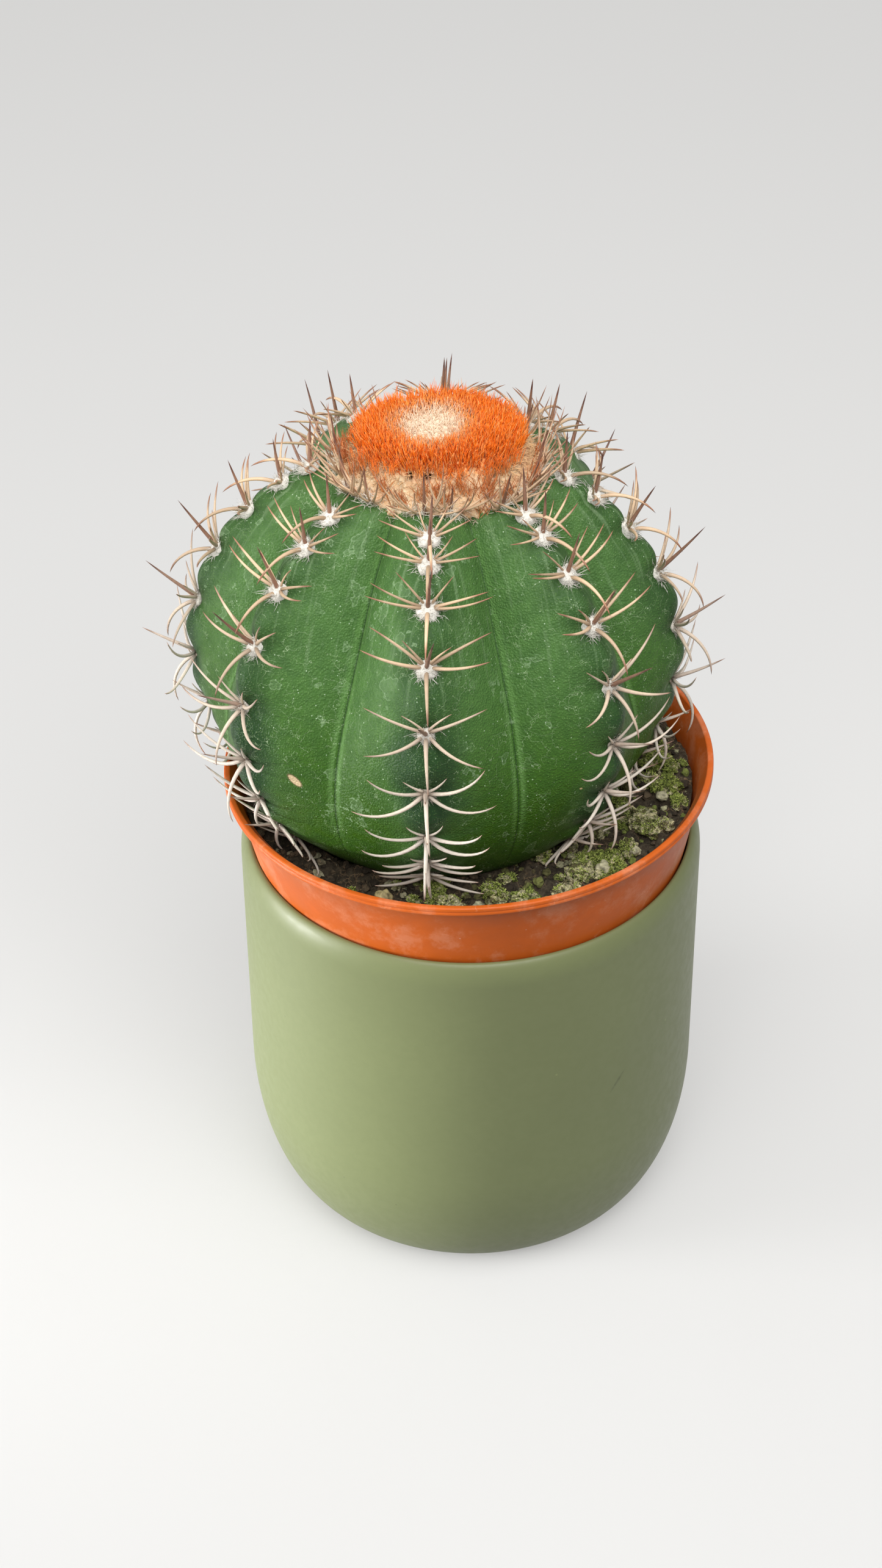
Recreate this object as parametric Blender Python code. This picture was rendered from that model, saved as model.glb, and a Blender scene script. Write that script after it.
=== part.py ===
"""Potted turk's cap cactus.

A ribbed globe with its bristly cap grows in a plastic nursery pot, which hangs a little crooked in
the mouth of a glazed cachepot. The origin is the centre of the cachepot's base, +Z is up and -Y is
the front. Azimuths run from the front (0 degrees) towards +X (90 degrees).
"""

import math
import random

import bmesh
import bpy
from mathutils import Euler, Matrix, Vector
from mathutils.bvhtree import BVHTree

MM = 0.001
GAP = 0.3 * MM  # clearance kept between two pieces that touch
MERGE = 0.001 * MM
TURN_STEPS = 44  # facets round a turned piece

# Cachepot: straight glazed wall, rounded foot, rolled mouth
CACHEPOT_RADIUS = 57.3 * MM
CACHEPOT_HEIGHT = 107.8 * MM
CACHEPOT_BASE_RADIUS = 43.5 * MM
CACHEPOT_FOOT_RISE = 37.0 * MM
CACHEPOT_WALL = 3.4 * MM
CACHEPOT_FLOOR = 5.0 * MM
MOUTH_RADIUS = 54.8 * MM
MOUTH_ROLL = 5.0 * MM
FOOT_LINE = (38.0 * MM, 40.5 * MM, 0.8 * MM)  # groove under the base: inner, outer radius, depth
FOOT_STEPS = 7
ROLL_STEPS = 4
LIP_STEPS = 3
INNER_FOOT_STEPS = 4

# Nursery pot: thin moulded cone with a turned-out lip, leaning a little
RIM_HEIGHT = 127.0 * MM
NURSERY_LEAN = (-1.3, -1.0)  # degrees about X and Y
NURSERY_RIM_RADIUS = 60.0 * MM
NURSERY_LIP = 1.0 * MM
NURSERY_RADIUS = 58.3 * MM  # outside of the wall, just under the lip
NURSERY_TAPER = 0.205  # radius lost per height
NURSERY_HEIGHT = 98.0 * MM
NURSERY_WALL = 0.9 * MM
NURSERY_FLOOR = 1.4 * MM
NURSERY_FLOOR_RISE = 3.0 * MM
NURSERY_SKIRT = (2.0 * NURSERY_WALL, 2.5 * NURSERY_WALL)  # foot ring's thickness at its edge and root
DRAIN_RADIUS = 4.5 * MM
DRAIN_RING = 23.0 * MM
DRAINS = 8
DRAIN_SIDES = 12

# Stem: an eight-ribbed globe; heights count from the nursery pot's rim
PLANT_AXIS = (-8.1 * MM, 4.0 * MM)
PLANT_LEAN = (-0.3, 0.7)  # degrees about X and Y
RIB_AZIMUTHS = (-92.0, -51.0, -2.5, 45.0, 84.0, 136.0, 176.0, 214.0)
STEM_RADIUS = 57.2 * MM
STEM_CENTRE = 32.0 * MM
STEM_RISE = 55.3 * MM
STEM_DROP = 57.5 * MM
STEM_BOTTOM = -19.0 * MM
STEM_TOP = 80.0 * MM
CROWN_HEIGHT = 81.0 * MM
CROWN_SHOULDER = 0.85  # of the stem's top ring: the flat seat of the cap
CROWN_DOMING = 0.3 * MM
GROOVE_DEPTH = 0.34  # of the crest radius, near the crown; the grooves fade out towards the soil
GROOVE_MIDDLE = 38.0 * MM  # height at which they are half as deep
GROOVE_BLEND = 13.0 * MM
FLANK_POWER = 1.35
STEPS_PER_RIB = 6
STEM_RINGS = 19

# Soil
SOIL_LEVEL = -10.5 * MM
SOIL_RISE_RIGHT = 2.5 * MM
SOIL_LUMP = 0.8 * MM
LUMP_PITCH = (6.1 * MM, 5.3 * MM, 3.4 * MM)
SMALL_LUMPS = 0.6  # of SOIL_LUMP
SOIL_POCKET_GAP = 0.8 * MM
SOIL_RINGS = (0.0, 0.3, 0.65, 1.0)  # from the stem's collar to the pot's wall
SOIL_EDGE = 3.0 * MM  # upright edge at the wall
COLLAR_DEPTH = 2.5 * MM  # the pocket's highest ring lies this far under SOIL_LEVEL or deeper
# What lies on the soil, in mm in the nursery pot's frame: x, y, radius and, for moss, height
MOSS_CLUMPS = (
    (46.0, 4.0, 5.0, 2.6),
    (41.0, -19.0, 5.5, 2.2),
    (43.0, 21.0, 5.5, 3.0),
    (12.0, -46.0, 4.5, 2.0),
)
GRIT_STONES = (
    (31.0, -38.0, 2.4),
    (1.0, -49.0, 2.1),
    (39.0, -31.0, 1.9),
    (47.0, -9.0, 1.8),
    (22.0, -44.0, 1.7),
)
PEBBLE = (-21.0, -45.5, 2.6)
MOSS_SIDES = 10
MOSS_PROFILE = ((0.5, 0.0), (1.0, 0.0), (1.0, 0.35), (0.6, 0.9))  # shares of radius and of height
MOSS_WOBBLE = (0.8, 1.1)
MOSS_LIFT = 0.75 * MM
STONE_WOBBLE = (0.88, 1.08)
GRIT_SQUASH = 0.75
PEBBLE_SQUASH = 0.85

# Areoles and spines
FIRST_AREOLES = (0.0, 2.0, 6.9, 6.3, 1.5, 4.0, 7.5, 5.0)  # mm of arc below STEM_TOP, per rib
AREOLE_SPACING = 15.6 * MM  # the widest, round the stem's waist
AREOLE_WAIST = 50.0 * MM  # arc from the top of the stem to the widest spacing
AREOLE_CROWDING = 3.7  # metres of spacing lost per square metre of arc from the waist
LOWEST_AREOLE = -2.0 * MM
PAD_RADIUS = 1.9 * MM
PAD_TOP_RADIUS = 1.4 * MM
PAD_HEIGHT = 1.1 * MM
# Bearings of the pad's corners, clockwise from the crown; a spine grows from each wall between
ROOT_EDGES = (90.0, 40.0, 10.0, -47.0, -133.0, -190.0, -220.0)
DOWN_WALL = 3
SPINE_RADIUS = 0.6 * MM
CENTRAL_RADIUS = 0.65 * MM
CENTRAL_FOOT = 2.5 * MM
CENTRAL_LENGTH = 16.5 * MM
CROWN_CENTRAL_LENGTH = 12.5 * MM  # next to the cap
CROWN_BELT = (60.0 * MM, 77.0 * MM)  # heights between which central spines shorten
CENTRAL_TILT = 27.0  # degrees towards the crown from the skin's normal
LOW_CENTRAL_TILT = 12.0  # added at the rim's height
DOWN_LENGTH = 17.0 * MM
DOWN_LIFT = 52.0  # degrees off the skin at the root
DOWN_BOW = 0.5  # how far along its root direction the curve's control point lies
LAST_DOWN = (0.9, 16.0)  # the lowest one, which crosses nothing: share of length, degrees of lift
CROSSING = 0.46  # where along a central spine the spine from above crosses it
PAST_CROSSING = 3.0 * MM
# Paired side spines: bearing above the horizontal at root and tip, lift off the skin at root and
# tip (degrees), length, segments
SIDE_SPINES = (
    (56.0, 64.0, 42.0, 34.0, 9.5 * MM, 1),
    (22.0, 30.0, 34.0, 20.0, 15.0 * MM, 2),
    (-4.0, 12.0, 30.0, 14.0, 16.5 * MM, 2),
)
LOW_SIDE_SPINE_DROP = 24.0  # degrees that the lowest pair swings down towards the soil
DROP_BELT = (-3.0 * MM, 57.0 * MM)  # heights between which it swings
SIDE_SPINE_TURN = 4.0  # degrees, at random
SPINE_TAPER = 0.6
LENGTH_SHARES = (1.0, 0.85, 0.7, 0.57, 0.45)  # tried in turn; a side spine with less room is left out
KEPT_SHARES = (1.0, 0.8, 0.6, 0.4, 0.2)  # of the last stretch of a down-pointing spine
LEAN_AWAY_STEPS = range(0, 70, 5)  # degrees
ROOT_SAMPLES = 3  # points at a spine's root that may lie near the skin
NEIGHBOUR_REACH = 45.0 * MM
SPINE_CLEARANCE = 1.0 * MM

# Cap (cephalium)
CAP_FOOT = 23.6 * MM
CAP_WOOL_TOP = 87.2 * MM
CAP_RADIUS = 19.2 * MM
CAP_TOP = 93.2 * MM
CAP_OFFSET = (1.3 * MM, 0.8 * MM)
CAP_FOOT_DEPTH = 0.93  # front to back, of the width
CAP_DEPTH = 0.79  # the same from CAP_WOOL_TOP up
CAP_SIDES = 32
CAP_FOOT_PROFILE = ((-1.5 * MM, 0.0), (0.0, 1.2 * MM), (-1.7 * MM, 3.0 * MM))  # beyond CAP_FOOT, height
FOOT_WOBBLE = 0.6 * MM
DOME_RINGS = 4
BRISTLE_REACH = 2.4 * MM
BRISTLE_RISE = 0.9
BRISTLE_LEAN = 0.75  # outwards at the rim; each ring further in leans less
BRISTLE_LEAN_STEP = 0.15
CROWN_SEAT = CAP_TOP - 0.6 * MM
CROWN_TUFT_RADIUS = 5.5 * MM
CROWN_TUFT_SIDES = 20
CROWN_TUFT_PROFILE = ((5.1 * MM, 0.0), (4.9 * MM, 0.5 * MM), (2.75 * MM, 1.3 * MM))  # radius, height
CROWN_TUFT_TOP = 1.6 * MM

GREEN = (0.10, 0.25, 0.08)
TERRACOTTA = (0.60, 0.16, 0.05)
SAGE = (0.38, 0.43, 0.24)
PEAT = (0.06, 0.045, 0.03)
MOSS = (0.13, 0.15, 0.04)
STONE = (0.33, 0.33, 0.26)
STRAW = (0.60, 0.42, 0.25)
SPINE_BROWN = (0.50, 0.36, 0.27)
ORANGE = (0.80, 0.16, 0.02)
CREAM = (0.85, 0.76, 0.58)


def clear_scene():
    for obj in list(bpy.data.objects):
        bpy.data.objects.remove(obj)


def material(name, colour, roughness):
    mat = bpy.data.materials.new(name)
    mat.use_nodes = True
    shader = mat.node_tree.nodes["Principled BSDF"]
    shader.inputs["Base Color"].default_value = (*colour, 1.0)
    shader.inputs["Roughness"].default_value = roughness
    shader.inputs["Metallic"].default_value = 0.0
    return mat


def frame_empty(name, location, lean):
    """An empty whose frame leans by (about X, about Y) degrees."""
    empty = bpy.data.objects.new(name, None)
    empty.location = location
    empty.rotation_euler = Euler((math.radians(lean[0]), math.radians(lean[1]), 0.0))
    bpy.context.scene.collection.objects.link(empty)
    bpy.context.view_layer.update()
    return empty


def finish_object(name, bm, mat, parent=None):
    bmesh.ops.recalc_face_normals(bm, faces=bm.faces)
    mesh = bpy.data.meshes.new(name)
    bm.to_mesh(mesh)
    bm.free()
    mesh.shade_smooth()
    mesh.set_sharp_from_angle(angle=math.radians(35.0))
    mesh.materials.append(mat)
    obj = bpy.data.objects.new(name, mesh)
    obj.parent = parent
    bpy.context.scene.collection.objects.link(obj)
    bpy.context.view_layer.update()
    return obj


def arc(centre, radii, start, end, steps):
    """Points (radius, height) along an elliptic arc, in degrees from the outward direction."""
    points = []
    for k in range(steps + 1):
        angle = math.radians(start + (end - start) * k / steps)
        points.append((centre[0] + radii[0] * math.cos(angle), centre[1] + radii[1] * math.sin(angle)))
    return points


def turned(name, outline, mat, parent=None):
    """A solid of revolution. The outline is open if both its ends lie on the axis."""
    bm = bmesh.new()
    verts = [bm.verts.new((radius, 0.0, height)) for radius, height in outline]
    edges = [bm.edges.new(pair) for pair in zip(verts, verts[1:])]
    if outline[0][0] > MERGE:
        edges.append(bm.edges.new((verts[-1], verts[0])))
    bmesh.ops.spin(
        bm,
        geom=verts + edges,
        cent=(0.0, 0.0, 0.0),
        axis=(0.0, 0.0, 1.0),
        angle=math.tau,
        steps=TURN_STEPS,
        use_merge=True,
        use_duplicate=False,
    )
    bmesh.ops.remove_doubles(bm, verts=bm.verts, dist=MERGE)
    return finish_object(name, bm, mat, parent)


def stacked_rings(bm, rings, low_centre, high_centre):
    """Joins rings of points, bottom to top, and closes both ends with fans."""
    rows = [[bm.verts.new(point) for point in ring] for ring in rings]
    count = len(rows[0])
    for below, above in zip(rows, rows[1:]):
        for k in range(count):
            n = (k + 1) % count
            bm.faces.new((below[k], below[n], above[n], above[k]))
    for row, centre in ((rows[0], low_centre), (rows[-1], high_centre)):
        hub = bm.verts.new(centre)
        for k in range(count):
            bm.faces.new((row[k], row[(k + 1) % count], hub))
    return rows


# Pots


def build_cachepot():
    inner_radius = CACHEPOT_RADIUS - CACHEPOT_WALL
    foot = CACHEPOT_RADIUS - CACHEPOT_BASE_RADIUS
    roll = CACHEPOT_RADIUS - MOUTH_RADIUS
    line_inner, line_outer, line_depth = FOOT_LINE
    lip = (MOUTH_RADIUS + CACHEPOT_RADIUS) / 2
    outline = [
        (0.0, 0.0),
        (line_inner, 0.0),
        (line_inner + line_depth, line_depth),
        (line_outer, line_depth),
        (line_outer, 0.0),
    ]
    centre = (CACHEPOT_BASE_RADIUS, CACHEPOT_FOOT_RISE)
    outline += arc(centre, (foot, CACHEPOT_FOOT_RISE), -90, 0, FOOT_STEPS)
    outline += arc((lip, CACHEPOT_HEIGHT - MOUTH_ROLL), (roll / 2, MOUTH_ROLL), 0, 90, ROLL_STEPS)
    outline += arc((lip, CACHEPOT_HEIGHT - roll / 2), (roll / 2, roll / 2), 90, 180, LIP_STEPS)[1:]
    outline.append((MOUTH_RADIUS, CACHEPOT_HEIGHT - 2 * MOUTH_ROLL))
    outline.append((inner_radius, CACHEPOT_HEIGHT - 4 * MOUTH_ROLL))
    inner_foot = (inner_radius - CACHEPOT_BASE_RADIUS + CACHEPOT_WALL, CACHEPOT_FOOT_RISE - CACHEPOT_FLOOR)
    centre = (inner_radius - inner_foot[0], CACHEPOT_FOOT_RISE)
    outline += arc(centre, inner_foot, 0, -90, INNER_FOOT_STEPS)
    outline.append((0.0, CACHEPOT_FLOOR))
    return turned("cachepot", outline, material("glazed_sage", SAGE, 0.3))


def nursery_radius(height, inset=0.0):
    """Outer radius of the nursery pot's wall at a height below its rim (a negative number)."""
    return NURSERY_RADIUS - inset + NURSERY_TAPER * height


def build_nursery_pot(frame):
    bottom = -NURSERY_HEIGHT
    floor = bottom + NURSERY_FLOOR_RISE
    ceiling = floor + NURSERY_FLOOR
    skirt_edge, skirt_root = NURSERY_SKIRT
    outline = [
        (0.0, floor),
        (nursery_radius(floor, skirt_root), floor),
        (nursery_radius(bottom, skirt_edge), bottom),
        (nursery_radius(bottom), bottom),
        (nursery_radius(-NURSERY_LIP), -NURSERY_LIP),
        (NURSERY_RIM_RADIUS, -NURSERY_LIP),
        (NURSERY_RIM_RADIUS, 0.0),
        (nursery_radius(0.0, NURSERY_WALL), 0.0),
        (nursery_radius(ceiling, NURSERY_WALL), ceiling),
        (0.0, ceiling),
    ]
    pot = turned("nursery_pot", outline, material("orange_plastic", TERRACOTTA, 0.45), frame)
    drains = drain_cutter(frame, (floor + ceiling) / 2)
    cut = pot.modifiers.new("drain_holes", "BOOLEAN")
    cut.operation = "DIFFERENCE"
    cut.solver = "EXACT"
    cut.object = drains
    return pot


def drain_cutter(frame, height):
    bm = bmesh.new()
    for k in range(DRAINS):
        angle = math.tau * (k + 0.5) / DRAINS
        spot = Vector((DRAIN_RING * math.cos(angle), DRAIN_RING * math.sin(angle), height))
        bmesh.ops.create_cone(
            bm,
            cap_ends=True,
            segments=DRAIN_SIDES,
            radius1=DRAIN_RADIUS,
            radius2=DRAIN_RADIUS,
            depth=3 * NURSERY_FLOOR,
            matrix=Matrix.Translation(spot),
        )
    cutter = finish_object("drain_cutter", bm, material("cutter", PEAT, 1.0), frame)
    cutter.hide_render = True
    cutter.display_type = "WIRE"
    return cutter


# Stem


def heading(azimuth):
    angle = math.radians(azimuth)
    return Vector((math.sin(angle), -math.cos(angle), 0.0))


def crest_radius(height):
    reach = STEM_RISE if height > STEM_CENTRE else STEM_DROP
    return STEM_RADIUS * math.sqrt(1.0 - ((height - STEM_CENTRE) / reach) ** 2)


def groove_share(height):
    return GROOVE_DEPTH / (1.0 + math.exp((GROOVE_MIDDLE - height) / GROOVE_BLEND))


def stem_columns():
    """(azimuth, share of the groove's depth) round the stem, crest to crest."""
    columns = []
    for k, start in enumerate(RIB_AZIMUTHS):
        end = RIB_AZIMUTHS[(k + 1) % len(RIB_AZIMUTHS)]
        span = (end - start) % 360.0
        for step in range(STEPS_PER_RIB):
            share = step / STEPS_PER_RIB
            from_crest = 1.0 - abs(2.0 * share - 1.0)
            columns.append((start + span * share, from_crest**FLANK_POWER))
    return columns


def stem_point(column, height, outset=0.0):
    azimuth, share = column
    radius = crest_radius(height) * (1.0 - groove_share(height) * share) + outset
    return heading(azimuth) * radius + Vector((0.0, 0.0, height))


def stem_heights():
    low = math.asin((STEM_BOTTOM - STEM_CENTRE) / STEM_DROP)
    high = math.asin((STEM_TOP - STEM_CENTRE) / STEM_RISE)
    heights = []
    for k in range(STEM_RINGS + 1):
        angle = low + (high - low) * k / STEM_RINGS
        reach = STEM_RISE if angle > 0 else STEM_DROP
        heights.append(STEM_CENTRE + reach * math.sin(angle))
    return heights


def build_stem(frame):
    columns = stem_columns()
    rings = [[stem_point(column, height) for column in columns] for height in stem_heights()]
    shoulder = [point * CROWN_SHOULDER for point in rings[-1]]
    for point in shoulder:
        point.z = CROWN_HEIGHT - CROWN_DOMING
    rings.append(shoulder)
    bm = bmesh.new()
    stacked_rings(bm, rings, (0.0, 0.0, STEM_BOTTOM), (0.0, 0.0, CROWN_HEIGHT))
    return finish_object("cactus_stem", bm, material("stem_skin", GREEN, 0.45), frame)


# Soil and what lies on it


def soil_height(x, y):
    """Height of the soil in the nursery pot's frame: gentle lumps, higher on the right."""
    pitch_x, pitch_y, pitch_small = LUMP_PITCH
    lumps = math.sin(x / pitch_x + 0.7) * math.sin(y / pitch_y)
    lumps += SMALL_LUMPS * math.sin((x - y) / pitch_small)
    slope = SOIL_RISE_RIGHT * max(0.0, x) / NURSERY_RADIUS
    return SOIL_LEVEL + slope + SOIL_LUMP * lumps


def soil_wall_point(start, direction):
    """Where a level ray from start meets the soil's edge, just inside the nursery pot's wall."""
    edge = nursery_radius(SOIL_LEVEL, NURSERY_WALL + SOIL_POCKET_GAP)
    along = start.xy.dot(direction.xy)
    reach = -along + math.sqrt(along**2 - start.xy.length_squared + edge**2)
    return start.xy + direction.xy * reach


def soil_collar_point(column, to_nursery):
    """Where the soil's surface meets the stem, a pocket gap away from it."""
    height = SOIL_LEVEL
    for _ in range(4):
        point = to_nursery @ stem_point(column, height, SOIL_POCKET_GAP)
        height += soil_height(point.x, point.y) - point.z
    return point


def build_soil(nursery_frame, plant_frame):
    to_nursery = nursery_frame.matrix_world.inverted() @ plant_frame.matrix_world
    buried = [height for height in stem_heights() if height < SOIL_LEVEL - COLLAR_DEPTH]
    columns = stem_columns()
    rings = []
    for height in buried:
        drop = Vector((0.0, 0.0, -SOIL_POCKET_GAP if height == buried[0] else 0.0))
        ring = [to_nursery @ (stem_point(column, height, SOIL_POCKET_GAP) + drop) for column in columns]
        rings.append(ring)
    inner = [soil_collar_point(column, to_nursery) for column in columns]
    edges = []
    for column, start in zip(columns, inner):
        edges.append(soil_wall_point(start, heading(column[0])))
    for share in SOIL_RINGS:
        ring = []
        for start, edge in zip(inner, edges):
            spot = start.xy.lerp(edge, share)
            ring.append(Vector((spot.x, spot.y, soil_height(spot.x, spot.y))))
        rings.append(ring)
    floor = -NURSERY_HEIGHT + NURSERY_FLOOR_RISE + NURSERY_FLOOR + SOIL_POCKET_GAP
    # The edge drops a little way inside the wall, and then the soil narrows with it to the floor.
    edge_radius = nursery_radius(SOIL_LEVEL, NURSERY_WALL + SOIL_POCKET_GAP)
    shrink = (edge_radius + NURSERY_TAPER * (floor - SOIL_LEVEL)) / edge_radius
    skirt = (edge_radius - NURSERY_TAPER * SOIL_EDGE) / edge_radius
    rings.append([Vector((edge.x * skirt, edge.y * skirt, SOIL_LEVEL - SOIL_EDGE)) for edge in edges])
    rings.append([Vector((edge.x * shrink, edge.y * shrink, floor)) for edge in edges])
    bm = bmesh.new()
    pocket = to_nursery @ Vector((0.0, 0.0, STEM_BOTTOM - SOIL_POCKET_GAP))
    stacked_rings(bm, rings, pocket, (0.0, 0.0, floor))
    return finish_object("soil", bm, material("peat", PEAT, 0.95), nursery_frame)


def ground(soil_tree, x, y):
    """Height of the soil's own faces at a place, in the nursery pot's frame."""
    spot = soil_tree.ray_cast(Vector((x, y, 0.0)), Vector((0.0, 0.0, -1.0)))[0]
    return spot.z


def build_moss_clump(name, frame, soil_tree, centre, radius, height, seed):
    """A low cushion of moss whose underside follows the soil."""
    rng = random.Random(seed)
    edge = []
    for k in range(MOSS_SIDES):
        angle = math.tau * k / MOSS_SIDES
        reach = radius * rng.uniform(*MOSS_WOBBLE)
        edge.append(Vector((math.cos(angle), math.sin(angle))) * reach)
    bm = bmesh.new()
    rings = []
    for share, lift in MOSS_PROFILE:
        ring = []
        for spoke in edge:
            spot = Vector(centre) + spoke * share
            ring.append((spot.x, spot.y, ground(soil_tree, spot.x, spot.y) + MOSS_LIFT + height * lift))
        rings.append(ring)
    level = ground(soil_tree, *centre) + MOSS_LIFT
    stacked_rings(bm, rings, (*centre, level), (*centre, level + height))
    return finish_object(name, bm, material("moss", MOSS, 0.95), frame)


def build_stone(name, frame, soil_tree, centre, radius, colour, squash, seed):
    """A rounded stone resting on the soil."""
    rng = random.Random(seed)
    bm = bmesh.new()
    bmesh.ops.create_icosphere(bm, subdivisions=1, radius=radius)
    for vertex in bm.verts:
        vertex.co *= rng.uniform(*STONE_WOBBLE)
        vertex.co.z *= squash
    rise = max(ground(soil_tree, centre[0] + v.co.x, centre[1] + v.co.y) - v.co.z for v in bm.verts)
    bmesh.ops.translate(bm, verts=bm.verts, vec=(*centre, rise + GAP))
    return finish_object(name, bm, material("grit", colour, 0.8), frame)


def build_ground_cover(frame, soil):
    points = [vertex.co for vertex in soil.data.vertices]
    soil_tree = BVHTree.FromPolygons(points, [tuple(face.vertices) for face in soil.data.polygons])
    cover = []
    for k, (x, y, radius, height) in enumerate(MOSS_CLUMPS):
        spot = (x * MM, y * MM)
        name = f"moss_clump_{k + 1}"
        cover.append(build_moss_clump(name, frame, soil_tree, spot, radius * MM, height * MM, k))
    for k, (x, y, radius) in enumerate(GRIT_STONES):
        spot = (x * MM, y * MM)
        name = f"grit_stone_{k + 1}"
        cover.append(build_stone(name, frame, soil_tree, spot, radius * MM, STONE, GRIT_SQUASH, k))
    spot = (PEBBLE[0] * MM, PEBBLE[1] * MM)
    seed = len(GRIT_STONES)
    cover.append(build_stone("pebble", frame, soil_tree, spot, PEBBLE[2] * MM, STRAW, PEBBLE_SQUASH, seed))
    return cover


# Cap


def cap_depth(height):
    """Depth of the cap, front to back, as a share of its width at a height."""
    share = (height - CROWN_HEIGHT) / (CAP_WOOL_TOP - CROWN_HEIGHT)
    return CAP_FOOT_DEPTH + (CAP_DEPTH - CAP_FOOT_DEPTH) * min(1.0, max(0.0, share))


def cap_ring(radius, height, sides, wobble=0.0, seed=0):
    """Points round the cap, with a random wobble in and out."""
    rng = random.Random(seed)
    ring = []
    for k in range(sides):
        spoke = heading(360.0 * k / sides) * (radius + wobble * rng.uniform(-1.0, 1.0))
        spoke.y *= cap_depth(height)
        ring.append(spoke + Vector((*CAP_OFFSET, height)))
    return ring


def build_cap_wool(frame):
    """The band of felted wool that carries the bristles."""
    base = CROWN_HEIGHT + GAP
    rings = []
    for k, (beyond, rise) in enumerate(CAP_FOOT_PROFILE):
        rings.append(cap_ring(CAP_FOOT + beyond, base + rise, CAP_SIDES, FOOT_WOBBLE, k))
    rings.append(cap_ring(CAP_RADIUS, CAP_WOOL_TOP, CAP_SIDES))
    bm = bmesh.new()
    stacked_rings(bm, rings, (*CAP_OFFSET, base), (*CAP_OFFSET, CAP_WOOL_TOP))
    return finish_object("cephalium_wool", bm, material("cap_wool", STRAW, 0.95), frame)


def build_cap_bristles(frame):
    """The orange brush: a low dome whose skin stands up in points, with a seat for the crown tuft."""
    base = CAP_WOOL_TOP + GAP
    rings = [cap_ring(CAP_RADIUS, base, CAP_SIDES)]
    for j in range(DOME_RINGS):
        share = (j + 0.5) / DOME_RINGS
        radius = CAP_RADIUS + (CROWN_TUFT_RADIUS - CAP_RADIUS) * share
        height = base + (CROWN_SEAT - base) * math.sqrt(1.0 - (1.0 - share) ** 2)
        ring = cap_ring(radius, height, CAP_SIDES)
        for k in range(j % 2, CAP_SIDES, 2):
            outward = heading(360.0 * k / CAP_SIDES) * (BRISTLE_LEAN - BRISTLE_LEAN_STEP * j)
            way = outward + Vector((0.0, 0.0, BRISTLE_RISE))
            ring[k] = ring[k] + way.normalized() * BRISTLE_REACH
        rings.append(ring)
    rings.append(cap_ring(CROWN_TUFT_RADIUS + GAP, CROWN_SEAT, CAP_SIDES))
    bm = bmesh.new()
    stacked_rings(bm, rings, (*CAP_OFFSET, base), (*CAP_OFFSET, CROWN_SEAT))
    return finish_object("cephalium_bristles", bm, material("cap_bristles", ORANGE, 0.6), frame)


def build_crown_tuft(frame):
    """The cream wool at the growing point."""
    seat = CROWN_SEAT + GAP
    rings = [cap_ring(radius, seat + rise, CROWN_TUFT_SIDES) for radius, rise in CROWN_TUFT_PROFILE]
    bm = bmesh.new()
    stacked_rings(bm, rings, (*CAP_OFFSET, seat), (*CAP_OFFSET, seat + CROWN_TUFT_TOP))
    return finish_object("cephalium_crown_wool", bm, material("crown_wool", CREAM, 0.95), frame)


# Spines


def arc_table():
    """(arc length from the top of the stem, height) down a rib's crest."""
    steps = 240
    table = [(0.0, STEM_TOP)]
    for k in range(1, steps + 1):
        height = STEM_TOP + (STEM_BOTTOM - STEM_TOP) * k / steps
        previous = table[-1][1]
        rise = crest_radius(height) - crest_radius(previous)
        table.append((table[-1][0] + math.hypot(rise, height - previous), height))
    return table


def height_at(arc_length, table):
    """Height on the crest at an arc length from the top of the stem."""
    for (s0, h0), (s1, h1) in zip(table, table[1:]):
        if arc_length <= s1:
            return h0 + (h1 - h0) * (arc_length - s0) / (s1 - s0)
    return STEM_BOTTOM


def areole_heights(first):
    """Heights of one rib's areoles. They crowd together towards the crown and towards the soil."""
    table = arc_table()
    arc_length = first
    heights = []
    while True:
        height = height_at(arc_length, table)
        if height < LOWEST_AREOLE:
            return heights
        heights.append(height)
        spacing = AREOLE_SPACING
        for _ in range(2):
            middle = arc_length + spacing / 2 - AREOLE_WAIST
            spacing = AREOLE_SPACING - AREOLE_CROWDING * middle**2
        arc_length += spacing


class Areole:
    """A spine cushion on a crest, with its own axes: side, up (towards the crown) and out."""

    def __init__(self, azimuth, height, stem_tree):
        step = 0.5 * MM
        rise = crest_radius(height + step) - crest_radius(height - step)
        outward = heading(azimuth)
        self.up = (outward * rise + Vector((0.0, 0.0, 2 * step))).normalized()
        self.side = heading(azimuth + 90.0)
        self.out = self.side.cross(self.up)
        if self.out.dot(outward) < 0:
            self.out.negate()
        self.height = height
        skin = outward * crest_radius(height) + Vector((0.0, 0.0, height))
        self.base = seat_on(stem_tree, skin, self)

    def direction(self, bearing, lift, mirror=1.0):
        across, off = math.radians(bearing), math.radians(lift)
        flat = self.side * (mirror * math.cos(across)) + self.up * math.sin(across)
        return flat * math.cos(off) + self.out * math.sin(off)

    def pad_ring(self, radius, lift):
        """The pad's corners, which lie between the roots of neighbouring spines."""
        ring = []
        for bearing in ROOT_EDGES:
            angle = math.radians(bearing)
            spoke = self.side * math.cos(angle) + self.up * math.sin(angle)
            ring.append(self.base + spoke * radius + self.out * lift)
        return ring

    def root(self, wall):
        """Middle of the pad's side wall that carries a spine."""
        low = self.pad_ring(PAD_RADIUS, 0.0)
        high = self.pad_ring(PAD_TOP_RADIUS, PAD_HEIGHT)
        n = (wall + 1) % len(low)
        return (low[wall] + low[n] + high[wall] + high[n]) / 4

    def middle(self):
        return self.base + self.out * PAD_HEIGHT


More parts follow.
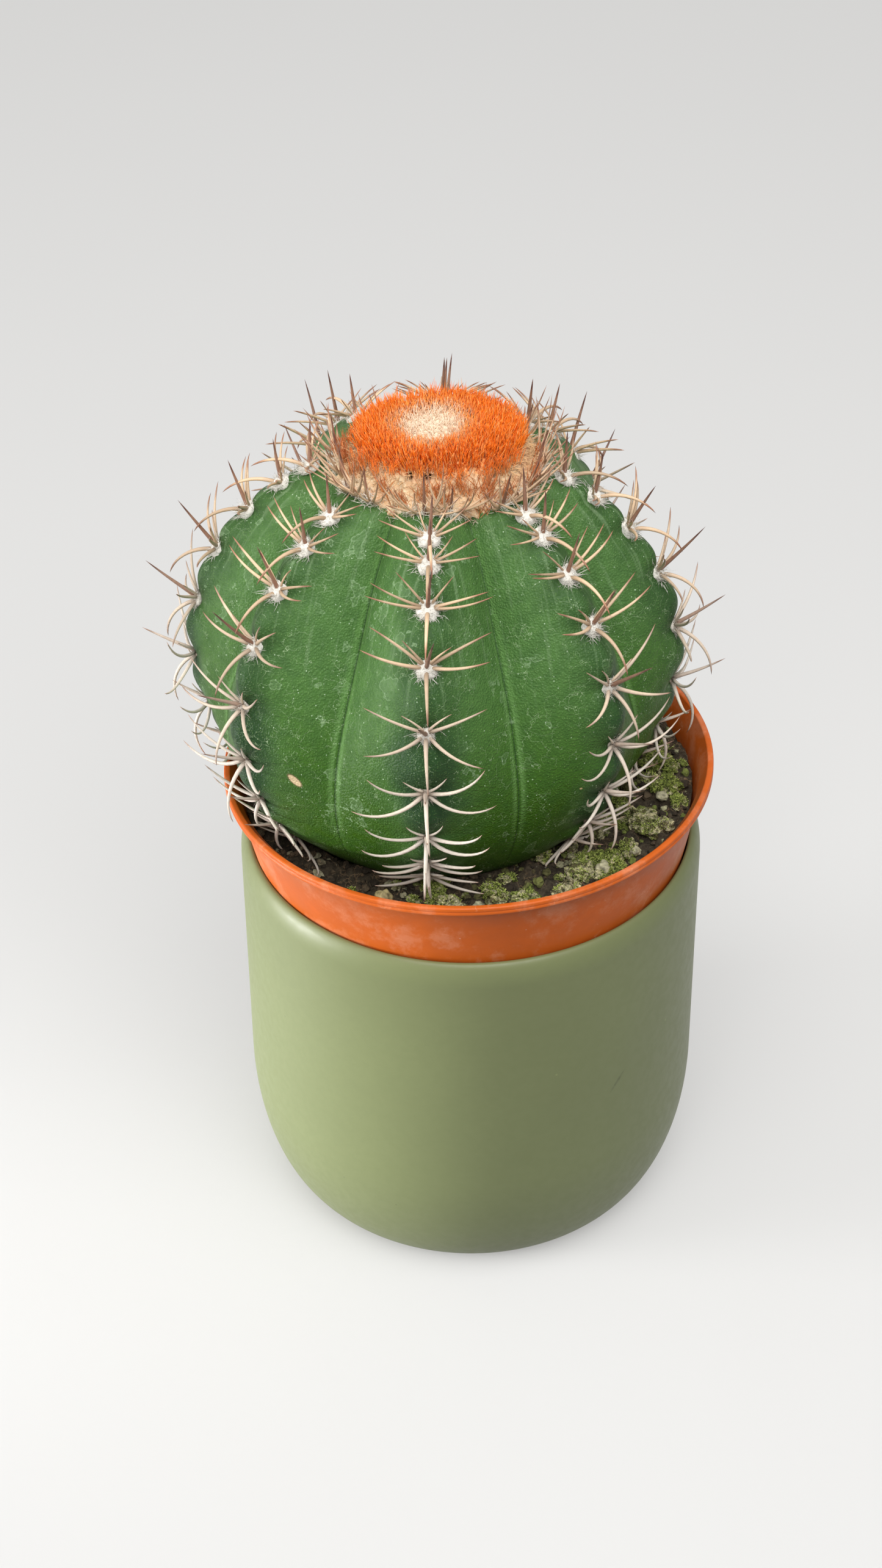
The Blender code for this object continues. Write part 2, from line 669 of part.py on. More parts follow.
def seat_on(tree, skin, areole):
    """The lowest place along the areole's out axis where its pad clears the stem."""
    base = skin.copy()
    for _ in range(40):
        areole.base = base
        tested = areole.pad_ring(PAD_RADIUS, 0.0) + [base]
        gaps = [tree.find_nearest(point) for point in tested]
        if all(gap[3] >= GAP and (spot - gap[0]).dot(areole.out) > 0 for spot, gap in zip(tested, gaps)):
            return base
        base = base + areole.out * 0.1 * MM
    raise ValueError("an areole found no seat on its rib")


def side_path(areole, spine, wall, mirror, length_share=1.0):
    """Points along a curved side spine, from the middle of its root."""
    bearing0, bearing1, lift0, lift1, length, segments = spine
    points = [areole.root(wall)]
    for k in range(segments):
        share = (k + 0.5) / segments
        bearing = bearing0 + (bearing1 - bearing0) * share
        lift = lift0 + (lift1 - lift0) * share
        step = areole.direction(bearing, lift, mirror) * length * length_share / segments
        points.append(points[-1] + step)
    return points


def central_path(areole, around):
    """The straight spine at an areole's middle, which leans away from what stands in its way."""
    low = max(0.0, (STEM_CENTRE - areole.height) / STEM_CENTRE)
    crownward = (areole.height - CROWN_BELT[0]) / (CROWN_BELT[1] - CROWN_BELT[0])
    crownward = min(1.0, max(0.0, crownward))
    length = CENTRAL_LENGTH + (CROWN_CENTRAL_LENGTH - CENTRAL_LENGTH) * crownward
    for lean_away in LEAN_AWAY_STEPS:
        tilt = math.radians(CENTRAL_TILT + LOW_CENTRAL_TILT * low - lean_away)
        way = areole.out * math.cos(tilt) + areole.up * math.sin(tilt)
        foot = areole.middle()
        path = [foot, foot + way * CENTRAL_FOOT, foot + way * length]
        if around.clear_of_pieces(path):
            return path
    return None


def down_path(areole, crossed):
    """The spine that arches down from an areole and crosses the next one's central spine."""
    start = areole.root(DOWN_WALL)
    way = areole.direction(-90.0, DOWN_LIFT)
    if crossed is None:
        share, lift = LAST_DOWN
        end = start + areole.direction(-90.0, lift) * DOWN_LENGTH * share
        return bezier(start, start + way * DOWN_LENGTH * DOWN_BOW, end, 3)
    meeting = crossed[0].lerp(crossed[-1], CROSSING)
    points = bezier(start, start + way * (meeting - start).length * DOWN_BOW, meeting, 2)
    last = (points[-1] - points[-2]).normalized()
    return points + [points[-1] + last * PAST_CROSSING]


def bezier(start, control, end, steps):
    points = []
    for k in range(steps + 1):
        t = k / steps
        points.append(start * (1 - t) ** 2 + control * 2 * t * (1 - t) + end * t**2)
    return points


def samples(path, spacing=0.8 * MM):
    """Points close together along a path."""
    points = []
    for start, end in zip(path, path[1:]):
        count = max(2, math.ceil((end - start).length / spacing))
        points += [start.lerp(end, k / count) for k in range(count)]
    return points + [path[-1]]


class Surroundings:
    """What a spine must stay clear of: the other pieces and the spines of other ribs."""

    def __init__(self, objects, to_plant):
        self.trees = []
        for obj in objects:
            matrix = to_plant @ obj.matrix_world
            points = [matrix @ vertex.co for vertex in obj.data.vertices]
            faces = [tuple(face.vertices) for face in obj.data.polygons]
            self.trees.append(BVHTree.FromPolygons(points, faces))
        self.spines = []

    def add(self, rib, path):
        self.spines.append((rib, samples(path)))

    def clear_of_pieces(self, path):
        for point in samples(path)[ROOT_SAMPLES:]:
            for tree in self.trees:
                spot, normal, _, distance = tree.find_nearest(point)
                inside = (point - spot).dot(normal) < -0.5 * distance
                if inside or distance < SPINE_CLEARANCE:
                    return False
        return True

    def clear_of_spines(self, rib, path):
        tested = samples(path)
        limit = (2 * SPINE_RADIUS + SPINE_CLEARANCE) ** 2
        for other, points in self.spines:
            if other == rib or (points[0] - tested[0]).length > NEIGHBOUR_REACH:
                continue
            for point in tested:
                if any((point - spot).length_squared < limit for spot in points):
                    return False
        return True


def add_tapered(bm, root_ring, path, across, radius):
    """Carries a ring of the pad's corners along a path to a point."""
    below = root_ring
    last = len(path) - 1
    sides = len(root_ring)
    for k in range(1, last + 1):
        if k == last:
            tip = bm.verts.new(path[k])
            for j in range(sides):
                bm.faces.new((below[j], below[(j + 1) % sides], tip))
            return
        way = (path[k + 1] - path[k - 1]).normalized()
        level = (across - way * across.dot(way)).normalized()
        rise = level.cross(way)
        middle = sum((vertex.co for vertex in root_ring), Vector()) / sides
        size = radius * (1.0 - SPINE_TAPER * (k - 1) / last)
        ring = []
        for vertex in root_ring:
            spoke = vertex.co - middle
            flat = level * spoke.dot(level) + rise * spoke.dot(rise)
            ring.append(bm.verts.new(path[k] + flat.normalized() * size))
        for j in range(sides):
            n = (j + 1) % sides
            bm.faces.new((below[j], below[n], ring[n], ring[j]))
        below = ring


def add_cluster(bm, areole, central, side_paths, down):
    """One areole as a single solid: a low pad whose walls and top run out into the spines."""
    low = [bm.verts.new(point) for point in areole.pad_ring(PAD_RADIUS, 0.0)]
    high = [bm.verts.new(point) for point in areole.pad_ring(PAD_TOP_RADIUS, PAD_HEIGHT)]
    bm.faces.new(low)
    add_tapered(bm, high, central, areole.side, CENTRAL_RADIUS)
    paths = dict(side_paths)
    paths[DOWN_WALL] = down
    for wall in range(len(low)):
        n = (wall + 1) % len(low)
        ring = [low[wall], low[n], high[n], high[wall]]
        if paths.get(wall):
            across = ring[1].co - ring[0].co
            add_tapered(bm, ring, paths[wall], across, SPINE_RADIUS)
        else:
            bm.faces.new(ring)


def fitting_side_path(areole, spine, wall, mirror, rib, around):
    """A side spine's path, shortened until it has room, or None."""
    for length_share in LENGTH_SHARES:
        path = side_path(areole, spine, wall, mirror, length_share)
        if around.clear_of_pieces(path) and around.clear_of_spines(rib, path):
            return path
    return None


def fitting_path(path, around):
    """A free spine cut back from its tip until it has room."""
    for keep in KEPT_SHARES:
        tip = path[-2].lerp(path[-1], keep)
        if around.clear_of_pieces(path[:-1] + [tip]):
            return path[:-1] + [tip]
    return None


def side_spines(areole, rib, rng, around):
    """The paired spines at both sides of an areole, as {wall of the pad: path}."""
    low_end, high_end = DROP_BELT
    low = max(0.0, (high_end - areole.height) / (high_end - low_end))
    paths = {}
    for pair, spine in enumerate(SIDE_SPINES):
        swing = LOW_SIDE_SPINE_DROP * low if spine is SIDE_SPINES[-1] else 0.0
        for mirror, wall in ((1.0, pair), (-1.0, len(ROOT_EDGES) - 1 - pair)):
            turn = rng.uniform(-SIDE_SPINE_TURN, SIDE_SPINE_TURN) - swing
            turned_spine = (spine[0] + turn, spine[1] + turn, *spine[2:])
            path = fitting_side_path(areole, turned_spine, wall, mirror, rib, around)
            if path:
                around.add(rib, path)
                paths[wall] = path
    return paths


def rib_areoles(rib, stem_tree, around):
    """A rib's areoles with their central and down-pointing spines; one with no room is left out."""
    grown = []
    for height in areole_heights(FIRST_AREOLES[rib] * MM):
        areole = Areole(RIB_AZIMUTHS[rib], height, stem_tree)
        central = central_path(areole, around)
        if central:
            grown.append((areole, central))
    cushions = []
    for k, (areole, central) in enumerate(grown):
        if k + 1 < len(grown):
            down = down_path(areole, grown[k + 1][1])
        else:
            down = fitting_path(down_path(areole, None), around)
        cushions.append((areole, central, down))
    return cushions


def build_spines(frame, stem_tree, around):
    """One object for each rib: its areoles with their spines, grown together where they cross."""
    rng = random.Random(8)
    ribs = [rib_areoles(rib, stem_tree, around) for rib in range(len(RIB_AZIMUTHS))]
    for rib, cushions in enumerate(ribs):
        for _, central, down in cushions:
            around.add(rib, central)
            if down:
                around.add(rib, down)
    bone = material("spines", SPINE_BROWN, 0.5)
    for rib, cushions in enumerate(ribs):
        halves = (bmesh.new(), bmesh.new())
        for k, (areole, central, down) in enumerate(cushions):
            sides = side_spines(areole, rib, rng, around)
            add_cluster(halves[k % 2], areole, central, sides, down)
        spines = finish_object(f"spines_rib_{rib + 1}", halves[0], bone, frame)
        others = finish_object(f"every_second_areole_{rib + 1}", halves[1], bone, frame)
        others.hide_render = True
        others.display_type = "WIRE"
        join = spines.modifiers.new("grown_together", "BOOLEAN")
        join.operation = "UNION"
        join.solver = "EXACT"
        join.object = others


def main():
    clear_scene()
    nursery_frame = frame_empty("nursery_frame", (0.0, 0.0, RIM_HEIGHT), NURSERY_LEAN)
    plant_frame = frame_empty("plant_frame", (*PLANT_AXIS, RIM_HEIGHT), PLANT_LEAN)
    build_cachepot()
    pot = build_nursery_pot(nursery_frame)
    soil = build_soil(nursery_frame, plant_frame)
    cover = build_ground_cover(nursery_frame, soil)
    stem = build_stem(plant_frame)
    cap = [build_cap_wool(plant_frame), build_cap_bristles(plant_frame), build_crown_tuft(plant_frame)]
    to_plant = plant_frame.matrix_world.inverted()
    around = Surroundings([stem, pot, soil, *cover, *cap], to_plant)
    build_spines(plant_frame, around.trees[0], around)


main()
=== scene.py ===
import math
from functools import cached_property

import bmesh
import bpy
import numpy as np
from bpy.props import FloatProperty, FloatVectorProperty, IntProperty, PointerProperty
from mathutils import Euler, Matrix, Vector


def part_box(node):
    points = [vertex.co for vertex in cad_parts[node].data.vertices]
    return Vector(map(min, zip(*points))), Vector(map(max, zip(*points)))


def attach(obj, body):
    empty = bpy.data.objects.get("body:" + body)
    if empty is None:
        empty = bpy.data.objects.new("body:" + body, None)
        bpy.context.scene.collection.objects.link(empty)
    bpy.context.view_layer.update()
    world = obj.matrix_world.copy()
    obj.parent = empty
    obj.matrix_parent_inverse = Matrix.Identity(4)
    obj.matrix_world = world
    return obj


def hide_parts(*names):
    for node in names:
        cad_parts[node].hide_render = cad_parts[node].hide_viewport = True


bl_info = {
    "name": "Potted Turk's Cap Cactus",
    "version": (1, 0, 0),
    "blender": (4, 5, 0),
    "location": "3D View > Sidebar > Cactus",
    "description": "Builds the finished pieces of a potted turk's cap cactus on its CAD frame",
    "category": "Add Mesh",
}

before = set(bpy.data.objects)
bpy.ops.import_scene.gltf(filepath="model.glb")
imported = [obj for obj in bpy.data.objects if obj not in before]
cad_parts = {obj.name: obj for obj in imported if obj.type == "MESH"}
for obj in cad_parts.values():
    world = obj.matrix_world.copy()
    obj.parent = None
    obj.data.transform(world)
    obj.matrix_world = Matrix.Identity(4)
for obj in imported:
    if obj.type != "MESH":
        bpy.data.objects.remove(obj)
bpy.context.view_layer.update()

MM = 0.001
MERGE = 1e-7
SEED = 20
UP = np.array([0.0, 0.0, 1.0])
POT_COLUMNS = 176

# Cachepot: its width and height are the CAD node's own
POT_LOW, POT_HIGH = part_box("cachepot")
CACHEPOT_RADIUS = (POT_HIGH.x - POT_LOW.x) / 2
CACHEPOT_HEIGHT = POT_HIGH.z
CACHEPOT_BASE_RADIUS = 43.5 * MM
CACHEPOT_FOOT_RISE = 37.0 * MM
CACHEPOT_WALL = 3.4 * MM
CACHEPOT_FLOOR = 5.0 * MM
MOUTH_RADIUS = 54.4 * MM
MOUTH_ROLL = 6.5 * MM
FOOT_LINE = (38.0 * MM, 40.5 * MM, 0.8 * MM)

# Nursery pot, in a frame at the middle of its rim
RIM_HEIGHT = 127.0 * MM
NURSERY_LEAN = (-1.3, -1.0)
NURSERY_RIM_RADIUS = 60.0 * MM
NURSERY_LIP = 2.2 * MM
NURSERY_LIP_WIDTH = 1.6 * MM
NURSERY_RADIUS = 58.3 * MM
NURSERY_TAPER = 0.205
NURSERY_HEIGHT = 98.0 * MM
NURSERY_WALL = 0.9 * MM
NURSERY_FLOOR = 1.4 * MM
NURSERY_FLOOR_RISE = 3.0 * MM
DRAIN_RADIUS = 4.5 * MM
DRAIN_RING = 23.0 * MM
DRAINS = 8

# Stem: heights count from the nursery pot's rim
PLANT_AXIS = (-8.1 * MM, 4.0 * MM)
PLANT_LEAN = (-0.3, 0.7)
RIB_AZIMUTHS = (-92.0, -51.0, -2.5, 45.0, 84.0, 136.0, 176.0, 214.0)
STEM_RADIUS = 57.2 * MM
STEM_CENTRE = 32.0 * MM
STEM_RISE = 55.3 * MM
STEM_DROP = 57.5 * MM
STEM_BOTTOM = -19.0 * MM
STEM_TOP = 80.0 * MM
CROWN_HEIGHT = 81.0 * MM
GROOVE_DEPTH = 0.34
GROOVE_MIDDLE = 38.0 * MM
GROOVE_BLEND = 13.0 * MM
FLANK_POWER = 1.5
CREASE_DEPTH = 0.4 * MM
CREASE_WIDTH = 0.9 * MM
CHIN_REACH = 5.5 * MM
STEM_COLUMNS = 400
STEM_RINGS = 190

# Areoles, counted by arc length down each crest
FIRST_AREOLES = (0.0, 2.0, 6.9, 6.3, 1.5, 4.0, 7.5, 5.0)
AREOLE_SPACING = 15.6 * MM
AREOLE_WAIST = 50.0 * MM
AREOLE_CROWDING = 3.7
LOWEST_AREOLE = -6.0 * MM
YOUNG_ABOVE = 62.0 * MM
AGEING_REACH = 40.0 * MM  # how far below that the spines and wool are old
TOP_SPACING = 6.2 * MM

# Soil
SOIL_LEVEL = -10.5 * MM
SOIL_RISE_RIGHT = 2.5 * MM
SOIL_LUMP = 0.8 * MM
SOIL_COLUMNS = 480
SOIL_RINGS = 44

# Cap
CAP_OFFSET = (1.3 * MM, 0.8 * MM)
CAP_FOOT = 23.6 * MM
CAP_WOOL_TOP = 87.2 * MM
CAP_FOOT_DEPTH = 0.93
CAP_DEPTH = 0.76


def leaning_frame(axis, lean):
    """A frame at rim height on an upright axis, leaning by degrees about X and Y."""
    turn = Euler((math.radians(lean[0]), math.radians(lean[1]), 0.0)).to_matrix().to_4x4()
    return Matrix.Translation((*axis, RIM_HEIGHT)) @ turn


NURSERY_FRAME = leaning_frame((0.0, 0.0), NURSERY_LEAN)
PLANT_FRAME = leaning_frame(PLANT_AXIS, PLANT_LEAN)
PLANT_TO_NURSERY = NURSERY_FRAME.inverted() @ PLANT_FRAME


# Settings


def colour_property(name, description, default):
    return FloatVectorProperty(
        name=name, description=description, default=default, size=3, min=0.0, max=1.0, subtype="COLOR"
    )


def length_property(name, description, default, low, high):
    return FloatProperty(
        name=name, description=description, default=default, min=low, max=high, subtype="DISTANCE",
        unit="LENGTH",
    )


def amount_property(name, description, default):
    return FloatProperty(name=name, description=description, default=default)


def count_property(name, description, default, low, high):
    return IntProperty(name=name, description=description, default=default, min=low, max=high)


class StageSettings(bpy.types.PropertyGroup):
    floor_colour: colour_property("Floor", "The plain floor where it is seen", (0.36, 0.358, 0.352))
    pale_colour: colour_property("Floor glow", "The floor's own glow where it is seen", (0.35, 0.347, 0.341))
    floor_bounce: colour_property("Floor bounce", "Floor as it lights the object", (0.12, 0.12, 0.11))
    key_power: amount_property("Key lamp", "Power of the soft lamp at the left, in watts", 6.5)
    top_power: amount_property("Top lamp", "Power of the soft lamp above the front, in watts", 18.5)
    low_power: amount_property("Low lamp", "Power of the low lamp at the left, in watts", 0.26)
    backdrop_strength: amount_property("Backdrop", "Brightness of the sky where it is seen", 0.52)
    sky_strength: amount_property("Sky", "Strength of the even light all round", 0.46)


class CachepotSettings(bpy.types.PropertyGroup):
    glaze_colour: colour_property("Glaze", "Colour of the satin glaze", (0.172, 0.198, 0.085))
    glaze_roughness: amount_property("Roughness", "Roughness of the glaze", 0.46)


class NurseryPotSettings(bpy.types.PropertyGroup):
    plastic_colour: colour_property("Plastic", "Colour of the moulded plastic", (0.58, 0.112, 0.013))


class StemSettings(bpy.types.PropertyGroup):
    dark_skin: colour_property("Dark skin", "Skin along the crests and low down", (0.016, 0.050, 0.014))
    mid_skin: colour_property("Skin", "Skin on the flanks", (0.088, 0.196, 0.050))
    # Lower-flank green, partly the skin's own colour and partly painted shade that darkens the stem towards
    # the bottom
    low_flank_skin_and_shade: colour_property("Bright skin", "Skin beside the lower grooves", (0.030, 0.092, 0.001))
    chin_height: length_property("Chins", "Swelling of a crest between areoles", 2.4 * MM, 0.0, 5 * MM)


class SpineSettings(bpy.types.PropertyGroup):
    radial_radius: length_property("Radial spine radius", "At the root", 0.5 * MM, 0.2 * MM, 1.5 * MM)
    central_radius: length_property("Central spine radius", "At the root", 0.56 * MM, 0.2 * MM, 1.5 * MM)
    young_colour: colour_property("Young spines", "Spines near the crown", (0.60, 0.425, 0.27))
    old_colour: colour_property("Old spines", "Spines low on the stem", (0.72, 0.64, 0.55))
    central_colour: colour_property("Central spines", "Middle of a central spine", (0.24, 0.12, 0.075))
    wool_colour: colour_property("Wool", "Wool of the areoles", (0.84, 0.81, 0.74))
    wool_fibres: count_property("Wool fibres", "Most fibres in one areole", 250, 8, 280)


class CapSettings(bpy.types.PropertyGroup):
    bristle_colour: colour_property("Bristles", "Orange of the cap's bristles", (0.88, 0.15, 0.008))
    bristles: count_property("Bristles", "Places for a bristle on the dome", 7400, 200, 9000)
    crown_colour: colour_property("Crown", "Cream wool at the growing point", (0.94, 0.76, 0.57))
    wool_colour: colour_property("Band", "Tan wool of the cap's foot", (0.80, 0.58, 0.34))


class SoilSettings(bpy.types.PropertyGroup):
    peat_colour: colour_property("Peat", "Colour of the damp potting soil", (0.026, 0.019, 0.012))
    moss_colour: colour_property("Moss", "Colour of the moss", (0.22, 0.27, 0.055))
    grit_colour: colour_property("Grit", "Colour of the grit", (0.42, 0.395, 0.25))
    crumbs: count_property("Crumbs", "Loose crumbs on the soil", 1300, 0, 4000)
    clods: count_property("Clods", "Clods crusted with moss", 130, 0, 150)


SETTINGS = {
    "cactus_stage": StageSettings,
    "cactus_cachepot": CachepotSettings,
    "cactus_nursery_pot": NurseryPotSettings,
    "cactus_stem": StemSettings,
    "cactus_spines": SpineSettings,
    "cactus_cap": CapSettings,
    "cactus_soil": SoilSettings,
}


# Shader nodes


VECTOR = "NodeSocketVector"
COLOUR = "NodeSocketColor"
NUMBER = "NodeSocketFloat"


def rgba(colour, gain=1.0):
    return (*(min(1.0, channel * gain) for channel in colour), 1.0)


class Nodes:
    """A node tree, with short ways to add the nodes that the finishes are made of."""

    def __init__(self, tree):
        self.tree = tree

    def add(self, kind, inputs=None, **settings):
        """Adds a node, sets it up, and links or fills its inputs."""
        node = self.tree.nodes.new(kind)
        for name, value in settings.items():
            setattr(node, name, value)
        for key, value in (inputs or {}).items():
            socket = node.inputs[key]
            if isinstance(value, bpy.types.NodeSocket):
                self.tree.links.new(value, socket)
            elif socket.type == "RGBA":
                socket.default_value = (*value[:3], 1.0)
            else:
                socket.default_value = value
        return node

    def group(self, name, **inputs):
        """Places a shared effect and returns its output; the effect is built the first time."""
        effect = bpy.data.node_groups.get(name) or EFFECT_MAKERS[name]()
        labelled = {label.replace("_", " "): value for label, value in inputs.items()}
        return self.add("ShaderNodeGroup", labelled, node_tree=effect).outputs[0]

    def calc(self, operation, first, second):
        return self.add("ShaderNodeMath", {0: first, 1: second}, operation=operation).outputs[0]

    def plus(self, first, second):
        return self.calc("ADD", first, second)

    def minus(self, first, second):
        return self.calc("SUBTRACT", first, second)

    def times(self, first, second):
        return self.calc("MULTIPLY", first, second)

    def vector(self, operation, first, second):
        return self.add("ShaderNodeVectorMath", {0: first, 1: second}, operation=operation).outputs[0]

    def blend(self, share, first, second):
        """A colour that goes from the first to the second as the share goes from 0 to 1."""
        return self.add("ShaderNodeMix", {0: share, 6: first, 7: second}, data_type="RGBA").outputs[2]

    def step(self, value, start, end):
        """Rises smoothly from 0 at start to 1 at end."""
        inputs = {0: value, 1: start, 2: end, 3: 0.0, 4: 1.0}
        return self.add("ShaderNodeMapRange", inputs, interpolation_type="SMOOTHSTEP").outputs[0]

    def mark(self, name):
        """A value that the piece's own vertices hold."""
        return self.add("ShaderNodeAttribute", attribute_name=name).outputs["Fac"]

    def noise(self, vector, scale, detail=3.0, roughness=0.55):
        inputs = {"Vector": vector, "Scale": scale, "Detail": detail, "Roughness": roughness}
        return self.add("ShaderNodeTexNoise", inputs).outputs[0]


class Effect(Nodes):
    """A shader group that finishes share. Each input is given as a kind of socket or a number."""

    def __init__(self, name, output, kind=NUMBER, **inputs):
        super().__init__(bpy.data.node_groups.new(name, "ShaderNodeTree"))
        sockets = self.tree.interface
        for label, given in inputs.items():
            name = label.replace("_", " ")
            if isinstance(given, float):
                sockets.new_socket(name=name, in_out="INPUT", socket_type=NUMBER).default_value = given
            else:
                sockets.new_socket(name=name, in_out="INPUT", socket_type=given)
        sockets.new_socket(name=output, in_out="OUTPUT", socket_type=kind)
        self.given = self.tree.nodes.new("NodeGroupInput").outputs
        self.result = self.tree.nodes.new("NodeGroupOutput").inputs

    def put_out(self, value):
        self.tree.links.new(value, self.result[0])
        return self.tree

    def cells(self, vector, **settings):
        """Cells of the effect's own scale, round scattered points."""
        inputs = {"Vector": vector, "Scale": self.given["Scale"]}
        return self.add("ShaderNodeTexVoronoi", inputs, **settings)


def mottle():
    """Soft blotches, as a mask from 0 to 1."""
    effect = Effect("Mottle", "Mask", Vector=VECTOR, Scale=100.0, Softness=0.2)
    value = effect.noise(effect.given["Vector"], effect.given["Scale"], 4.0)
    softness = effect.given["Softness"]
    return effect.put_out(effect.step(value, effect.minus(0.5, softness), effect.plus(0.5, softness)))


def pebbled_grain():
    """The pebbled relief of a skin or a rough glaze."""
    effect = Effect("Pebbled Grain", "Height", Vector=VECTOR, Scale=1500.0)
    vector = effect.given["Vector"]
    cells = effect.cells(vector, feature="SMOOTH_F1")
    cells.inputs["Smoothness"].default_value = 0.6
    domes = effect.minus(1.0, cells.outputs["Distance"])
    uneven = effect.noise(vector, effect.times(effect.given["Scale"], 0.35), 2.0)
    return effect.put_out(effect.plus(domes, effect.times(uneven, 0.3)))


def specks():
    """Scattered specks. Share is how many cells hold one, Size its radius in cells."""
    effect = Effect("Specks", "Mask", Vector=VECTOR, Scale=200.0, Size=0.15, Share=0.3)
    size = effect.given["Size"]
    cells = effect.cells(effect.given["Vector"])
    draw = effect.add("ShaderNodeSeparateColor", {0: cells.outputs["Color"]}).outputs[0]
    chosen = effect.calc("LESS_THAN", draw, effect.given["Share"])
    spot = effect.minus(1.0, effect.step(cells.outputs["Distance"], effect.times(size, 0.45), size))
    return effect.put_out(effect.times(chosen, spot))


def hairline_scratches():
    """Broken, wandering hairlines, such as fine scratches in a skin."""
    effect = Effect("Hairline Scratches", "Mask", Vector=VECTOR, Scale=80.0, Width=0.02, Share=0.5)
    vector = effect.given["Vector"]
    wander = effect.add("ShaderNodeTexNoise", {"Vector": vector, "Scale": 330.0, "Detail": 3.0})
    centred = effect.vector("SUBTRACT", wander.outputs["Color"], (0.5, 0.5, 0.5))
    bent = effect.vector("ADD", vector, effect.vector("MULTIPLY", centred, (0.006, 0.006, 0.006)))
    edge = effect.cells(bent, feature="DISTANCE_TO_EDGE").outputs["Distance"]
    line = effect.minus(1.0, effect.step(edge, 0.0, effect.given["Width"]))
    low = effect.minus(0.75, effect.times(effect.given["Share"], 0.5))
    broken = effect.step(effect.noise(vector, 150.0, 2.0), low, effect.plus(low, 0.06))
    return effect.put_out(effect.times(line, broken))


def strand_colour():
    """Colour along a spine, bristle or fibre, from its own "along" and "tone" marks."""
    effect = Effect(
        "Strand Colour", "Colour", COLOUR, Root=COLOUR, Middle=COLOUR, Tip=COLOUR, Root_End=0.2,
        Tip_Start=0.7, Variation=0.3,
    )
    given = effect.given
    along = effect.mark("along")
    lower = effect.blend(effect.step(along, 0.0, given["Root End"]), given["Root"], given["Middle"])
    tip_end = effect.plus(given["Tip Start"], 0.22)
    whole = effect.blend(effect.step(along, given["Tip Start"], tip_end), lower, given["Tip"])
    shift = effect.times(effect.minus(effect.mark("tone"), 0.5), given["Variation"])
    inputs = {"Value": effect.plus(1.0, shift), "Color": whole}
    return effect.put_out(effect.add("ShaderNodeHueSaturation", inputs).outputs[0])


EFFECT_MAKERS = {
    "Mottle": mottle,
    "Pebbled Grain": pebbled_grain,
    "Specks": specks,
    "Hairline Scratches": hairline_scratches,
    "Strand Colour": strand_colour,
}


class Finish(Nodes):
    """A material, with a base colour that layers are laid over."""

    def __init__(self, name, **fixed):
        self.mat = bpy.data.materials.new(name)
        self.mat.use_nodes = True
        super().__init__(self.mat.node_tree)
        self.shader = self.tree.nodes["Principled BSDF"]
        for label, value in fixed.items():
            self.shader.inputs[label.replace("_", " ")].default_value = value

    @cached_property
    def where(self):
        """Places in the part's own frame, which patterns follow."""
        return self.add("ShaderNodeTexCoord").outputs["Object"]

    def mottle(self, scale, softness=0.2):
        return self.group("Mottle", Vector=self.where, Scale=scale, Softness=softness)

    def specks(self, scale, size, share):
        return self.group("Specks", Vector=self.where, Scale=scale, Size=size, Share=share)

    def scratches(self, scale, width, share):
        return self.group("Hairline Scratches", Vector=self.where, Scale=scale, Width=width, Share=share)

    def grain(self, scale):
        return self.group("Pebbled Grain", Vector=self.where, Scale=scale)

    def strand(self, root, middle, tip, root_end, tip_start, variation):
        """Colour along each strand; root_end and tip_start are shares of its length."""
        return self.group(
            "Strand Colour", Root=root, Middle=middle, Tip=tip, Root_End=root_end, Tip_Start=tip_start,
            Variation=variation,
        )

    def spot(self, centre, turn, reach, softness):
        """One elliptic spot on the surface; turn is its own rotation, reach its half lengths."""
        inputs = {"Vector": self.vector("SUBTRACT", self.where, centre), "Rotation": turn}
        level = self.add("ShaderNodeVectorRotate", inputs, rotation_type="EULER_XYZ", invert=True).outputs[0]
        scaled = self.vector("MULTIPLY", level, tuple(1.0 / half for half in reach))
        away = self.add("ShaderNodeVectorMath", {0: scaled}, operation="LENGTH").outputs["Value"]
        return self.minus(1.0, self.step(away, 1.0 - softness, 1.0))

    def bump(self, height, distance, strength):
        inputs = {"Height": height, "Distance": distance, "Strength": strength}
        return self.add("ShaderNodeBump", inputs).outputs["Normal"]

    def over(self, mask, colour, strength=None):
        """Lays a colour over the base where the mask is, at a strength from 0 to 1."""
        if strength is not None:
            mask = self.times(mask, strength)
        self.base = self.blend(mask, self.base, colour)

    def finished(self, roughness=None, relief=None):
        """Joins the base colour, and a roughness and relief where they vary, to the shader."""
        for label, value in (("Base Color", self.base), ("Roughness", roughness), ("Normal", relief)):
            if value is not None:
                self.tree.links.new(value, self.shader.inputs[label])
        return self.mat


# Mesh tools


def finish_piece(name, mesh, mat, slot, replaced=(), sharp_angle=None):
    """Puts a finished mesh in the scene, on the body; its slot is passed in but not used. It is smooth all
    over, or sharp past an angle in degrees."""
    mesh.shade_smooth()
    if sharp_angle:
        mesh.set_sharp_from_angle(angle=math.radians(sharp_angle))
    mesh.materials.clear()
    mesh.materials.append(mat)
    piece = bpy.data.objects.new(name, mesh)
    bpy.context.scene.collection.objects.link(piece)
    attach(piece, "root")
    if replaced:
        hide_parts(*replaced)


def mesh_from(bm, name):
    bmesh.ops.recalc_face_normals(bm, faces=bm.faces)
    mesh = bpy.data.meshes.new(name)
    bm.to_mesh(mesh)
    bm.free()
    return mesh


def coordinates(mesh):
    values = np.empty(len(mesh.vertices) * 3)
    mesh.vertices.foreach_get("co", values)
    return values.reshape(-1, 3)


def set_coordinates(mesh, points, matrix=None):
    if matrix is not None:
        points = moved(points, matrix)
    mesh.vertices.foreach_set("co", np.ascontiguousarray(points, dtype=np.float64).ravel())
    mesh.update()


def store(mesh, name, values):
    marks = mesh.attributes.new(name, "FLOAT", "POINT")
    marks.data.foreach_set("value", np.asarray(values, np.float32))


